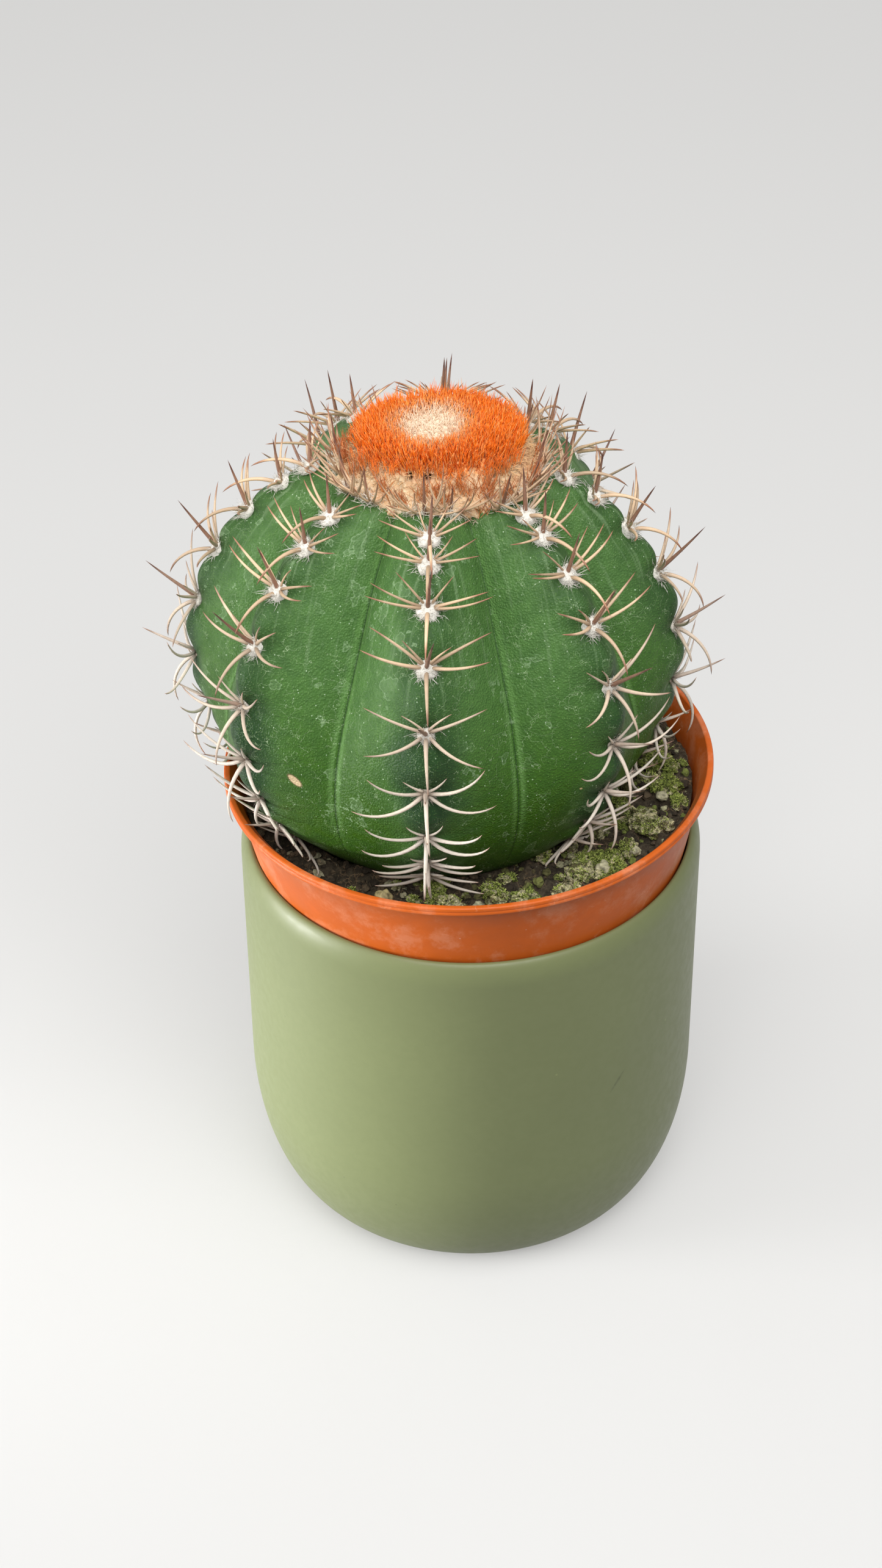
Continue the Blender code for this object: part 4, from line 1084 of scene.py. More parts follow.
class AddSoil(bpy.types.Operator):
    """Adds the potting soil with its crumbs, moss, grit and pebble"""

    bl_idname = "cactus.add_soil"
    bl_label = "Soil, Moss and Grit"

    def execute(self, context):
        settings = context.scene.cactus_soil
        self.add_bed(settings)
        self.add_crumbs(settings)
        self.add_moss(settings)
        self.add_stones(settings)
        return {"FINISHED"}

    def add_bed(self, settings):
        """The soil's body: a pocket for the stem, the crumbly surface and the filled cone below."""
        floor = -NURSERY_HEIGHT + NURSERY_FLOOR_RISE + NURSERY_FLOOR + 0.3 * MM
        pocket = ((STEM_BOTTOM - 0.8 * MM, 0.86), (-15.0 * MM, 0.94))  # height, share of the stem's outline
        walls = (SOIL_LEVEL - 3 * MM, -40.0 * MM, floor)
        rings = len(pocket) + SOIL_RINGS + len(walls)
        mesh, ring, turn = turned_shell("potting_soil", rings, SOIL_COLUMNS)
        inner, outer = soil_ring(turn)
        points = np.zeros((len(turn), 3))
        share = np.clip((ring - len(pocket) - 1) / (SOIL_RINGS - 1), 0.0, 1.0)
        spread = inner + (outer - inner) * share[:, None]
        points[:, :2] = spread[:, :2]
        points[:, 2] = soil_relief(points[:, 0], points[:, 1])
        fade = np.clip(share / 0.08, 0.0, 1.0)
        points[:, 2] = soil_height(points[:, 0], points[:, 1]) * (1 - fade) + points[:, 2] * fade
        centre = np.array(PLANT_AXIS)
        for k, (height, shrink) in enumerate(pocket):
            mine = ring == k + 1
            points[mine, :2] = centre + (inner[mine, :2] - centre) * shrink
            points[mine, 2] = height
        edge = nursery_radius(SOIL_LEVEL)
        for k, height in enumerate(walls):
            mine = ring == rings - len(walls) + 1 + k
            points[mine, :2] = outer[mine, :2] * (edge + NURSERY_TAPER * (height - SOIL_LEVEL)) / edge
            points[mine, 2] = height
        points[ring == 0] = (*PLANT_AXIS, pocket[0][0])
        points[ring == rings + 1] = (0.0, 0.0, floor)
        set_coordinates(mesh, points, NURSERY_FRAME)
        bm = bmesh.new()
        bm.from_mesh(mesh)
        mesh = mesh_from(bm, "potting_soil")
        finish_piece("potting_soil", mesh, self.peat(settings), "peat_soil", ["soil"])

    def random_places(self, rng, count, right_bias):
        """Places on the open soil, as x and y in the nursery pot's frame."""
        turn = rng.uniform(0, math.tau, count * 4)
        inner, outer = soil_ring(turn)
        width = np.linalg.norm((outer - inner)[:, :2], axis=1)
        keep = rng.uniform(0, 1, len(turn)) * 0.030 < width * (1 + right_bias * inner[:, 0] / 0.05)
        share = rng.uniform(0.04, 0.97, len(turn))
        spots = inner + (outer - inner) * share[:, None]
        return spots[keep][:count, :2]

    def add_blobs(self, name, template, spots, sizes, squash, lift, rng, marks, mat, slot, replaced=()):
        """Rounded lumps made from one template, each with its own turn and size."""
        base = coordinates(template)
        blocks = []
        for spot, size in zip(spots, sizes):
            turn = np.array(Euler(rng.uniform(0, math.tau, 3)).to_matrix())
            stretch = np.diag(rng.uniform(0.7, 1.2, 3))
            seed = int(rng.integers(1e6))
            spread = base + rng.uniform(0, 50, 3)
            bumps = 1.0 + 0.2 * waves(spread, 1.5, seed, 4) + 0.14 * waves(spread, 0.8, seed + 3, 6)
            if len(base) > 200:
                bumps += 0.12 * waves(spread, 0.55, seed + 1, 8)
                bumps += 0.07 * waves(spread, 0.28, seed + 2, 8)
            lump = (base * bumps[:, None]) @ stretch @ turn.T * size
            lump[:, 2] *= squash
            height = float(soil_relief(np.array([spot[0]]), np.array([spot[1]]))[0])
            blocks.append(lump + np.array([spot[0], spot[1], height + size * lift]))
        mesh = repeated(template, len(blocks), name)
        set_coordinates(mesh, np.concatenate(blocks), NURSERY_FRAME)
        for label, values in marks.items():
            store(mesh, label, np.repeat(values, len(base)))
        finish_piece(name, mesh, mat, slot, replaced, 24.0)

    def add_crumbs(self, settings):
        rng = np.random.default_rng(SEED)
        spots = self.random_places(rng, settings.crumbs, 0.2)
        sizes = rng.uniform(0.3, 1.0, len(spots)) ** 1.6 * 1.25 * MM
        marks = {"tone": rng.uniform(0, 1, len(spots)), "moss": np.clip(spots[:, 0] / 0.05 + 0.35, 0, 1)}
        self.add_blobs(
            "soil_crumbs", icosphere(2), spots, sizes, 0.8, 0.35, rng, marks,
            self.crumb_finish(settings), "peat_soil",
        )

    def add_moss(self, settings):
        """Clods crusted with moss, thickest at the front and the right."""
        rng = np.random.default_rng(SEED + 1)
        names = [f"moss_clump_{k + 1}" for k in range(len(CUSHION_SIZES))]
        to_nursery = NURSERY_FRAME.inverted()
        marked = []
        for name in names:
            low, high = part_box(name)
            middle = to_nursery @ ((low + high) / 2)
            marked.append((middle.x, middle.y))
        spread = self.random_places(rng, MOSS_PLACES, 0.9)
        green_side = spread[:, 0] - 0.6 * spread[:, 1] > rng.normal(size=len(spread)) * 18 * MM
        spots = np.vstack([np.array(marked), spread[green_side][: settings.clods]])
        scattered = rng.uniform(0.35, 1.0, len(spots) - len(names)) ** 1.3 * 3.3
        sizes = np.concatenate([CUSHION_SIZES, scattered]) * MM
        reach = np.linalg.norm(spots, axis=1)
        room = nursery_radius(SOIL_LEVEL, NURSERY_WALL + 0.4 * MM) - sizes * 1.15
        spots = spots * np.minimum(1.0, room / reach)[:, None]
        from_stem = np.linalg.norm(spots - np.array(PLANT_AXIS), axis=1)
        clear = from_stem > STEM_FOOT_RADIUS + sizes * 0.6
        clear[: len(names)] = True
        spots, sizes = spots[clear], sizes[clear]
        marks = {"tone": rng.uniform(0, 1, len(spots))}
        self.add_blobs(
            "moss_cushions", icosphere(4), spots, sizes, 0.72, 0.3, rng, marks,
            self.moss_finish(settings), "moss", names,
        )
        self.add_leaves(spots, sizes, settings, rng)

    def add_leaves(self, spots, sizes, settings, rng):
        """Short moss leaves standing on the clods."""
        strands = Strands(3, 2)
        for spot, size in zip(spots, sizes):
            ground = float(soil_relief(spot[:1], spot[1:])[0]) + 0.3 * size
            for _ in range(int(22 * (size / MM) ** 1.5)):
                way = unit([*rng.normal(size=2) * 0.8, 0.9])
                start = np.array([*spot, ground]) + way * np.array([1.0, 1.0, 0.72]) * size * 0.9
                sag = rng.normal(size=3) * 0.4
                path = bend(start, way, sag, rng.uniform(0.25, 0.65) * MM, strands.steps)
                radii = 0.14 * MM * taper(strands.steps)
                strands.add(path, np.array([1.0, 0.0, 0.0]), radii, rng.uniform())
        mesh = strands.mesh("moss_leaves", NURSERY_FRAME)
        finish_piece("moss_leaves", mesh, self.leaf_finish(settings), "moss")

    def add_stones(self, settings):
        """Smooth grit in the places of the CAD stones, and the round pebble at the front."""
        rng = np.random.default_rng(SEED + 2)
        template = coordinates(icosphere(4))
        slot, mat = "grit", self.stone_finish("grey_green_grit", settings.grit_colour)
        for name in [f"grit_stone_{k}" for k in range(1, 6)] + ["pebble"]:
            low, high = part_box(name)
            half = np.array((high - low) / 2)
            bumps = 1.0 + 0.12 * waves(template, 1.3, int(rng.integers(1e6)), 6)
            bumps += 0.07 * waves(template, 0.6, int(rng.integers(1e6)), 8)
            points = template * bumps[:, None]
            points = points / np.abs(points).max(axis=0) * half + np.array((low + high) / 2)
            mesh = icosphere(4)
            set_coordinates(mesh, points)
            if name == "pebble":
                slot, mat = "pebble", self.stone_finish("yellow_pebble", (0.42, 0.34, 0.16))
            finish_piece(f"{name}_rounded", mesh, mat, slot, [name])

    def peat(self, settings):
        look = Finish("damp_peat", Roughness=0.9, Specular_IOR_Level=0.25)
        colour = settings.peat_colour
        clods = look.mottle(240.0)
        fine = look.mottle(1100.0)
        look.base = look.blend(clods, rgba(colour, 0.5), rgba(colour, 1.5))
        look.over(fine, (0.10, 0.08, 0.05), 0.5)
        fibre = look.scratches(300.0, 0.05, 0.6)
        look.over(fibre, (0.26, 0.17, 0.09), 0.5)
        grit = look.specks(900.0, 0.3, 0.16)
        look.over(grit, (0.30, 0.29, 0.22), 0.6)
        relief = look.bump(look.plus(fine, grit), 0.0003, 0.8)
        return look.finished(relief=relief)

    def crumb_finish(self, settings):
        """Crumbs run from dark peat to grey-green, more of them green towards the right."""
        look = Finish("soil_crumbs", Roughness=0.88, Specular_IOR_Level=0.3)
        tone = look.mark("tone")
        moss = look.mark("moss")
        damp = rgba(settings.peat_colour, 1.2)
        look.base = look.blend(look.step(tone, 0.2, 0.55), damp, (0.12, 0.085, 0.05))
        green = look.times(look.step(tone, 0.45, 0.6), moss)
        look.over(green, rgba(settings.moss_colour, 0.75))
        pale = look.step(tone, 0.88, 0.94)
        look.over(pale, rgba(settings.grit_colour), 0.8)
        fine = look.mottle(1500.0)
        look.over(fine, rgba(settings.peat_colour), 0.5)
        return look.finished(relief=look.bump(fine, 0.0002, 0.7))

    def moss_finish(self, settings):
        """Moss in dark and yellow-green patches over a pale crust, pricked with holes painted near black as
        shade.
        """
        look = Finish("mossy_clod", Roughness=0.9, Specular_IOR_Level=0.2)
        colour = settings.moss_colour
        tone = look.mark("tone")
        patches = look.mottle(520.0, 0.15)
        grain = look.mottle(1700.0, 0.2)
        crust = look.blend(grain, rgba(settings.grit_colour, 0.42), (0.66, 0.60, 0.34))
        green = look.blend(grain, rgba(colour, 0.2), rgba(colour, 1.25))
        share = look.plus(patches, look.times(look.minus(tone, 0.5), 0.9))
        look.base = look.blend(look.step(share, 0.48, 0.85), green, crust)
        brown = look.step(look.minus(tone, patches), 0.35, 0.7)
        look.over(brown, (0.11, 0.08, 0.05), 0.8)
        # Painted shade: near-black spots where the holes between the moss lie in shadow
        holes = look.specks(800.0, 0.4, 0.42)
        look.over(holes, rgba(colour, 0.09), 0.88)
        relief = look.minus(look.times(grain, 1.2), holes)
        return look.finished(relief=look.bump(relief, 0.0004, 0.9))

    def leaf_finish(self, settings):
        look = Finish("moss_leaf", Roughness=0.8, Specular_IOR_Level=0.25)
        colour = settings.moss_colour
        look.base = look.strand(rgba(colour, 0.4), rgba(colour, 1.3), (0.50, 0.50, 0.19), 0.3, 0.6, 0.7)
        return look.finished()

    def stone_finish(self, name, colour):
        look = Finish(name, Roughness=0.75)
        clouds = look.mottle(500.0)
        look.base = look.blend(clouds, rgba(colour, 0.25), rgba(colour, 1.15))
        specks = look.specks(1500.0, 0.3, 0.3)
        look.over(specks, rgba(colour, 0.3), 0.5)
        grain = look.grain(1800.0)
        return look.finished(relief=look.bump(grain, 0.0001, 0.7))


# Stem


SCAR = ((-0.0405, -0.0394, 0.1506), (0.0, 0.70, -0.416))  # place on the skin, and turn


class AddStem(bpy.types.Operator):
    """Adds the eight-ribbed green stem"""

    bl_idname = "cactus.add_stem"
    bl_label = "Stem"

    def execute(self, context):
        settings = context.scene.cactus_stem
        mesh, ring, turn = turned_shell("ribbed_stem", STEM_RINGS, STEM_COLUMNS)
        azimuth, nearest, from_crest, half_span = stem_columns(turn)
        arcs = np.linspace(ARC_LENGTHS[-1], 0.0, STEM_RINGS - 1)
        skin_heights = np.interp(arcs, ARC_LENGTHS, ARC_HEIGHTS)
        height = np.concatenate([[STEM_BOTTOM], skin_heights, [STEM_TOP, CROWN_HEIGHT]])[ring]
        radius = stem_radius(nearest, from_crest, half_span, height, settings.chin_height)
        radius = np.where(ring == STEM_RINGS, radius * 0.85, radius)
        height = np.where(ring == STEM_RINGS, CROWN_HEIGHT - 0.3 * MM, height)
        radius[(ring == 0) | (ring == STEM_RINGS + 1)] = 0.0
        points = heading(azimuth) * radius[:, None]
        points[:, 2] = height
        on_skin = (ring > 0) & (ring < STEM_RINGS)
        outward = unit_rows(points * np.array([1.0, 1.0, 0.6]))
        points += outward * (waves(points, 22 * MM, 8) * 0.22 * MM * on_skin)[:, None]
        set_coordinates(mesh, points, PLANT_FRAME)
        store(mesh, "flank", from_crest)
        store(mesh, "level", height)
        store(mesh, "across", (1.0 - from_crest) * half_span * radius * np.where(nearest % 2, 1.0, -1.0))
        mat = self.skin(settings)
        finish_piece("ribbed_stem", mesh, mat, "stem_skin", ["cactus_stem"])
        return {"FINISHED"}

    def skin(self, settings):
        """Pebbled satin skin: dark crests, lower flanks in a deep green that is partly painted shade
        darkening the stem low down, painted shade along each groove's crease, pale patches, hairlines, a
        scar and a brown dot."""
        look = Finish("pebbled_green_skin", Roughness=0.4, Specular_IOR_Level=0.17)
        dark, mid = settings.dark_skin, settings.mid_skin
        flank = look.mark("flank")
        level = look.mark("level")
        clouds = look.mottle(42.0)
        fine = look.mottle(330.0)
        wander = look.times(look.minus(clouds, 0.5), 0.35)
        wandering_flank = look.plus(flank, wander)
        look.base = look.blend(look.step(wandering_flank, 0.02, 0.55), dark, mid)
        upper = look.step(level, 25 * MM, 70 * MM)
        look.over(upper, rgba(mid, 0.84), 0.55)
        # Lower flanks beside the grooves: a deep saturated green, partly the skin's own colour and partly
        # painted shade that darkens the stem towards the bottom
        lower = look.minus(1.0, look.step(level, 18 * MM, 60 * MM))
        beside_groove = look.step(wandering_flank, 0.1, 0.55)
        bright = look.times(look.times(lower, beside_groove), 0.9)
        look.over(bright, settings.low_flank_skin_and_shade)
        look.over(fine, rgba(dark, 1.2), 0.3)
        look.over(self.streaks(look, level), (0.22, 0.33, 0.17))
        look.over(self.patches(look), (0.32, 0.46, 0.26))
        hairs = look.scratches(230.0, 0.012, 0.5)
        look.over(hairs, (0.44, 0.56, 0.34), 0.55)
        pores = look.specks(2100.0, 0.36, 0.55)
        look.over(pores, (0.26, 0.44, 0.13), 0.26)
        dots = look.specks(1000.0, 0.2, 0.2)
        look.over(dots, (0.50, 0.64, 0.44), 0.7)
        beside = look.minus(look.step(flank, 0.90, 0.965), look.step(flank, 0.965, 0.985))
        high = look.step(level, -4 * MM, 30 * MM)
        look.over(look.times(beside, high), (0.17, 0.33, 0.10), 0.45)
        # Painted shade: a dark line down each groove's crease, for the shadow inside the V
        crease = look.step(flank, 0.988, 0.997)
        look.over(crease, rgba(dark, 0.6), 0.6)
        scar = look.spot(*SCAR, (0.0026, 0.004, 0.0014), 0.3)
        look.over(scar, (0.16, 0.13, 0.06))
        look.over(look.spot(*SCAR, (0.0022, 0.004, 0.0011), 0.3), (0.66, 0.50, 0.30))
        dot = look.spot((0.0256, -0.0412, 0.1479), (0.0, 0.2, 0.3), (0.0005, 0.003, 0.00035), 0.5)
        look.over(dot, (0.58, 0.42, 0.22))
        rough = look.plus(0.4, look.times(fine, 0.14))
        rough = look.plus(rough, look.times(scar, 0.3))
        grain = look.grain(2100.0)
        soft = look.noise(look.where, 420.0)
        height = look.plus(grain, look.times(soft, 0.15))
        return look.finished(rough, look.bump(height, 0.0002, 1.0))

    def streaks(self, look, level):
        """Faint pale streaks that run down the flanks near the crown."""
        across = look.mark("across")
        inputs = {0: look.times(across, 900.0), 1: look.times(level, 60.0)}
        value = look.noise(look.add("ShaderNodeCombineXYZ", inputs).outputs[0], 1.0)
        top = look.step(level, 30 * MM, 75 * MM)
        return look.times(look.times(look.step(value, 0.52, 0.75), top), 0.45)

    def patches(self, look):
        """Pale islands with a paler shoreline, as where water has dried."""
        value = look.noise(look.where, 170.0)
        wide = look.step(look.noise(look.where, 48.0, 2.0), 0.47, 0.58)
        islands = look.step(value, 0.595, 0.61)
        inland = look.step(value, 0.608, 0.635)
        shore = look.minus(islands, look.times(inland, 0.78))
        return look.times(look.times(shore, wide), 0.46)


# Spines and wool


# Paired side spines at these heights: bearing above the horizontal at root and at tip, lift off the
# skin at root and at tip (all in degrees), and length in mm. They hook upwards more and more low down.
SPINE_LEVELS = np.array([79.6, 76.3, 69.5, 59.1, 45.2, 29.8, 15.6, 4.5]) * MM
SHORT_PAIR = np.array(
    (
        (51, 67, 42, 28, 8.0),
        (32, 52, 42, 28, 8.0),
        (47, 40, 42, 26, 10.5),
        (53, 42, 42, 24, 8.5),
        (60, 44, 36, 16, 8.0),
        (50, 58, 30, 12, 8.0),
        (50, 74, 22, 10, 7.5),
        (42, 78, 15, 10, 6.5),
    )
)
MIDDLE_PAIR = np.array(
    (
        (21, 43, 36, 14, 11.0),
        (13, 31, 35, 14, 12.0),
        (13, 29, 34, 12, 14.5),
        (36, 32, 34, 10, 15.8),
        (32, 40, 30, 5, 16.2),
        (10, 60, 26, 4, 17.0),
        (0, 74, 18, 8, 16.2),
        (-8, 72, 12, 10, 14.0),
    )
)
LOWER_PAIR = np.array(
    (
        (-1, 29, 32, 10, 11.0),
        (-3, 22, 32, 10, 12.5),
        (-3, 25, 34, 8, 15.0),
        (1, 21, 36, 5, 15.3),
        (-39, -3, 30, 2, 15.5),
        (-34, 48, 30, 4, 18.6),
        (-48, 66, 22, 8, 17.2),
        (-48, 62, 16, 10, 15.0),
    )
)
# Each pair with its share of the full spine radius
SIDE_SPINES = ((SHORT_PAIR, 0.72), (MIDDLE_PAIR, 0.95), (LOWER_PAIR, 1.0))
DOWN_LIFT = (64.0, -14.0)
DOWN_LENGTH = 17.5 * MM
CENTRAL_LENGTH = 16.5 * MM
CROWN_CENTRAL_LENGTH = 12.5 * MM


def turned_path(areole, start, bearings, lifts, length, mirror, steps):
    """A spine that swings evenly from its first bearing and lift to its last."""
    points = [start]
    count = len(steps) - 1
    for k in range(count):
        share = (k + 0.5) / count
        bearing = bearings[0] + (bearings[1] - bearings[0]) * share
        lift = lifts[0] + (lifts[1] - lifts[0]) * share
        points.append(points[-1] + areole.direction(bearing, lift, mirror) * length / count)
    return np.array(points)


def has_room(path):
    """Whether a spine stays out of the soil and off the nursery pot's wall."""
    points = moved(path, PLANT_TO_NURSERY)
    away = np.linalg.norm(points[:, :2], axis=1)
    in_pot = points[:, 2] < 1.5 * MM
    wall = nursery_radius(points[:, 2], NURSERY_WALL + 1.0 * MM)
    free_of_wall = np.all(~in_pot | (away < wall) | (away > NURSERY_RIM_RADIUS + 1.5 * MM))
    above_soil = points[:, 2] > soil_height(points[:, 0], points[:, 1]) + 1.0 * MM
    return bool(free_of_wall and np.all(above_soil | (away > NURSERY_RIM_RADIUS)))


class AddSpines(bpy.types.Operator):
    """Adds the spine clusters of every rib, and the crowded ones round the cap's foot"""

    bl_idname = "cactus.add_spines"
    bl_label = "Spines"

    def execute(self, context):
        settings = context.scene.cactus_spines
        mat = self.spine_finish(settings)
        for rib, areoles in all_areoles():
            rng = np.random.default_rng(SEED + 10 + rib)
            strands = Strands(8, 11)
            for areole in areoles:
                self.add_cluster(strands, areole, rng, settings)
            name = f"spine_clusters_rib_{rib + 1}"
            mesh = strands.mesh(name, PLANT_FRAME)
            finish_piece(name, mesh, mat, "spines", [f"spines_rib_{rib + 1}"])
        self.add_crown_ring(mat, settings)
        return {"FINISHED"}

    def add_cluster(self, strands, areole, rng, settings):
        steps = strands.steps
        radius = settings.radial_radius
        foot = areole.base + areole.out * 0.6 * MM
        crown = min(1.0, max(0.0, (areole.height - YOUNG_ABOVE) / (14 * MM)))
        low = min(1.0, max(0.0, (58 * MM - areole.height) / (42 * MM)))
        for pair, share in SIDE_SPINES:
            root, tip, lift_root, lift_tip, reach = (
                np.interp(-areole.height, -SPINE_LEVELS, column) for column in pair.T
            )
            for mirror in (1.0, -1.0):
                turn = rng.uniform(-6.0, 6.0)
                rise = rng.uniform(-4.0, 5.0)
                bearings = (root + turn, tip + turn + rng.uniform(-7.0, 9.0))
                lifts = (lift_root + rise, lift_tip + rise)
                start = foot + areole.direction(root, 0.0, mirror) * 0.9 * MM
                length = reach * MM * rng.uniform(0.92, 1.08)
                radii = radius * share * (1.0 - 0.18 * crown) * rng.uniform(0.88, 1.1) * taper(steps)
                self.add_fitting(strands, areole, start, bearings, lifts, length, mirror, radii, rng)
        start = foot - areole.up * 1.0 * MM
        bearing = -90.0 + rng.uniform(-5, 5)
        lifts = (DOWN_LIFT[0] + rng.uniform(-5, 5), DOWN_LIFT[1] + rng.uniform(-6, 6))
        length = DOWN_LENGTH * (0.82 + 0.2 * low) * rng.uniform(0.94, 1.06)
        radii = radius * 1.1 * taper(steps)
        self.add_fitting(strands, areole, start, (bearing, bearing), lifts, length, 1.0, radii, rng)
        self.add_central(strands, areole, foot, crown, rng, settings.central_radius)

    def add_fitting(self, strands, areole, start, bearings, lifts, length, mirror, radii, rng):
        """Adds a side spine, shortened until it has room beside soil and pot."""
        for keep in (1.0, 0.88, 0.76, 0.64, 0.52, 0.4, 0.3):
            path = turned_path(areole, start, bearings, lifts, length * keep, mirror, strands.steps)
            if has_room(path):
                strands.add(path, areole.out, radii, rng.uniform(), age=areole.age, central=0.0)
                return

    def add_central(self, strands, areole, foot, crown, rng, radius):
        """The straight spine at the middle, which stands up towards the crown."""
        low = max(0.0, (STEM_CENTRE - areole.height) / STEM_CENTRE)
        tilt = math.radians(27.0 + 12.0 * low + rng.uniform(-4, 4))
        aslant = areole.side * rng.uniform(-0.1, 0.1)
        way = unit(areole.out * math.cos(tilt) + areole.up * math.sin(tilt) + aslant)
        length = (CENTRAL_LENGTH + (CROWN_CENTRAL_LENGTH - CENTRAL_LENGTH) * crown) * rng.uniform(0.85, 1.02)
        length *= 1.0 - 0.5 * min(1.0, 1.6 * low)
        sag = areole.up * (rng.uniform(-0.02, 0.07) + 0.5 * low) + areole.side * rng.uniform(-0.04, 0.04)
        path = bend(foot, way, sag, length, strands.steps)
        if has_room(path):
            radii = radius * taper(strands.steps, 0.62)
            strands.add(path, areole.side, radii, rng.uniform(), age=areole.age, central=1.0)

    def add_crown_ring(self, mat, settings):
        """Crowded clusters, half grown over by the cap, that stand round its foot."""
        rng = np.random.default_rng(SEED + 30)
        strands = Strands(7, 9)
        steps = strands.steps
        for azimuth in crown_tufts(rng):
            azimuth = azimuth + rng.normal() * 1.5
            outward, side = heading(azimuth), heading(azimuth + 90.0)
            foot = cap_place(azimuth, CAP_FOOT + rng.uniform(-1.4, 0.8) * MM, CROWN_HEIGHT)
            reach = 1.0 + 0.45 * min(0.0, math.cos(math.radians(azimuth)))
            for mirror in (-1.0, 1.0):
                for spread in (0.35, 0.8, 1.3, 1.8, 2.4):
                    spread = spread * rng.uniform(0.75, 1.25)
                    way = unit(outward * rng.uniform(0.3, 1.2) + UP * 0.75 + side * mirror * spread)
                    sag = UP * rng.uniform(0.1, 0.55) - side * mirror * rng.uniform(-0.1, 0.4)
                    sag -= outward * rng.uniform(-0.15, 0.3)
                    length = rng.uniform(8.5, 15.5) * MM * reach
                    start = foot + side * mirror * rng.uniform(0.1, 1.2) * MM
                    radii = rng.uniform(0.26, 0.42) * MM * taper(steps)
                    path = bend(start, way, sag, length, steps)
                    strands.add(path, UP, radii, rng.uniform(), age=0.0, central=0.0)
            lean = math.radians(rng.uniform(4.0, 26.0))
            way = unit(outward * math.sin(lean) + UP * math.cos(lean) + side * rng.uniform(-0.12, 0.12))
            length = rng.uniform(8.5, 13.0) * MM * reach
            radii = settings.central_radius * 0.85 * taper(steps, 0.62)
            path = bend(foot, way, UP * 0.02, length, steps)
            strands.add(path, side, radii, rng.uniform(), age=0.0, central=1.0)
        mesh = strands.mesh("crown_ring_spines", PLANT_FRAME)
        finish_piece("crown_ring_spines", mesh, mat, "spines")

    def spine_finish(self, settings):
        """Horny spines: tan above and ivory below, with brown roots and tips and a fine grain."""
        look = Finish("horny_spine", Roughness=0.48, Specular_IOR_Level=0.45)
        young, old, dark = settings.young_colour, settings.old_colour, settings.central_colour
        age = look.mark("age")
        young_side = look.strand(rgba(young, 0.66), rgba(young, 1.1), (0.33, 0.15, 0.085), 0.35, 0.62, 0.5)
        old_side = look.strand(rgba(old, 0.7), rgba(old, 1.02), (0.38, 0.23, 0.17), 0.2, 0.78, 0.25)
        young_central = look.strand(dark, rgba(dark, 1.1), (0.10, 0.035, 0.025), 0.3, 0.62, 0.5)
        old_central = look.strand((0.50, 0.40, 0.33), (0.66, 0.55, 0.46), (0.30, 0.17, 0.12), 0.2, 0.7, 0.4)
        side = look.blend(age, young_side, old_side)
        central = look.blend(look.step(age, 0.3, 1.0), young_central, old_central)
        look.base = look.blend(look.mark("central"), side, central)
        fine = look.mottle(900.0)
        look.over(fine, (0.42, 0.28, 0.20), 0.16)
        return look.finished(relief=look.bump(fine, 0.00008, 0.6))


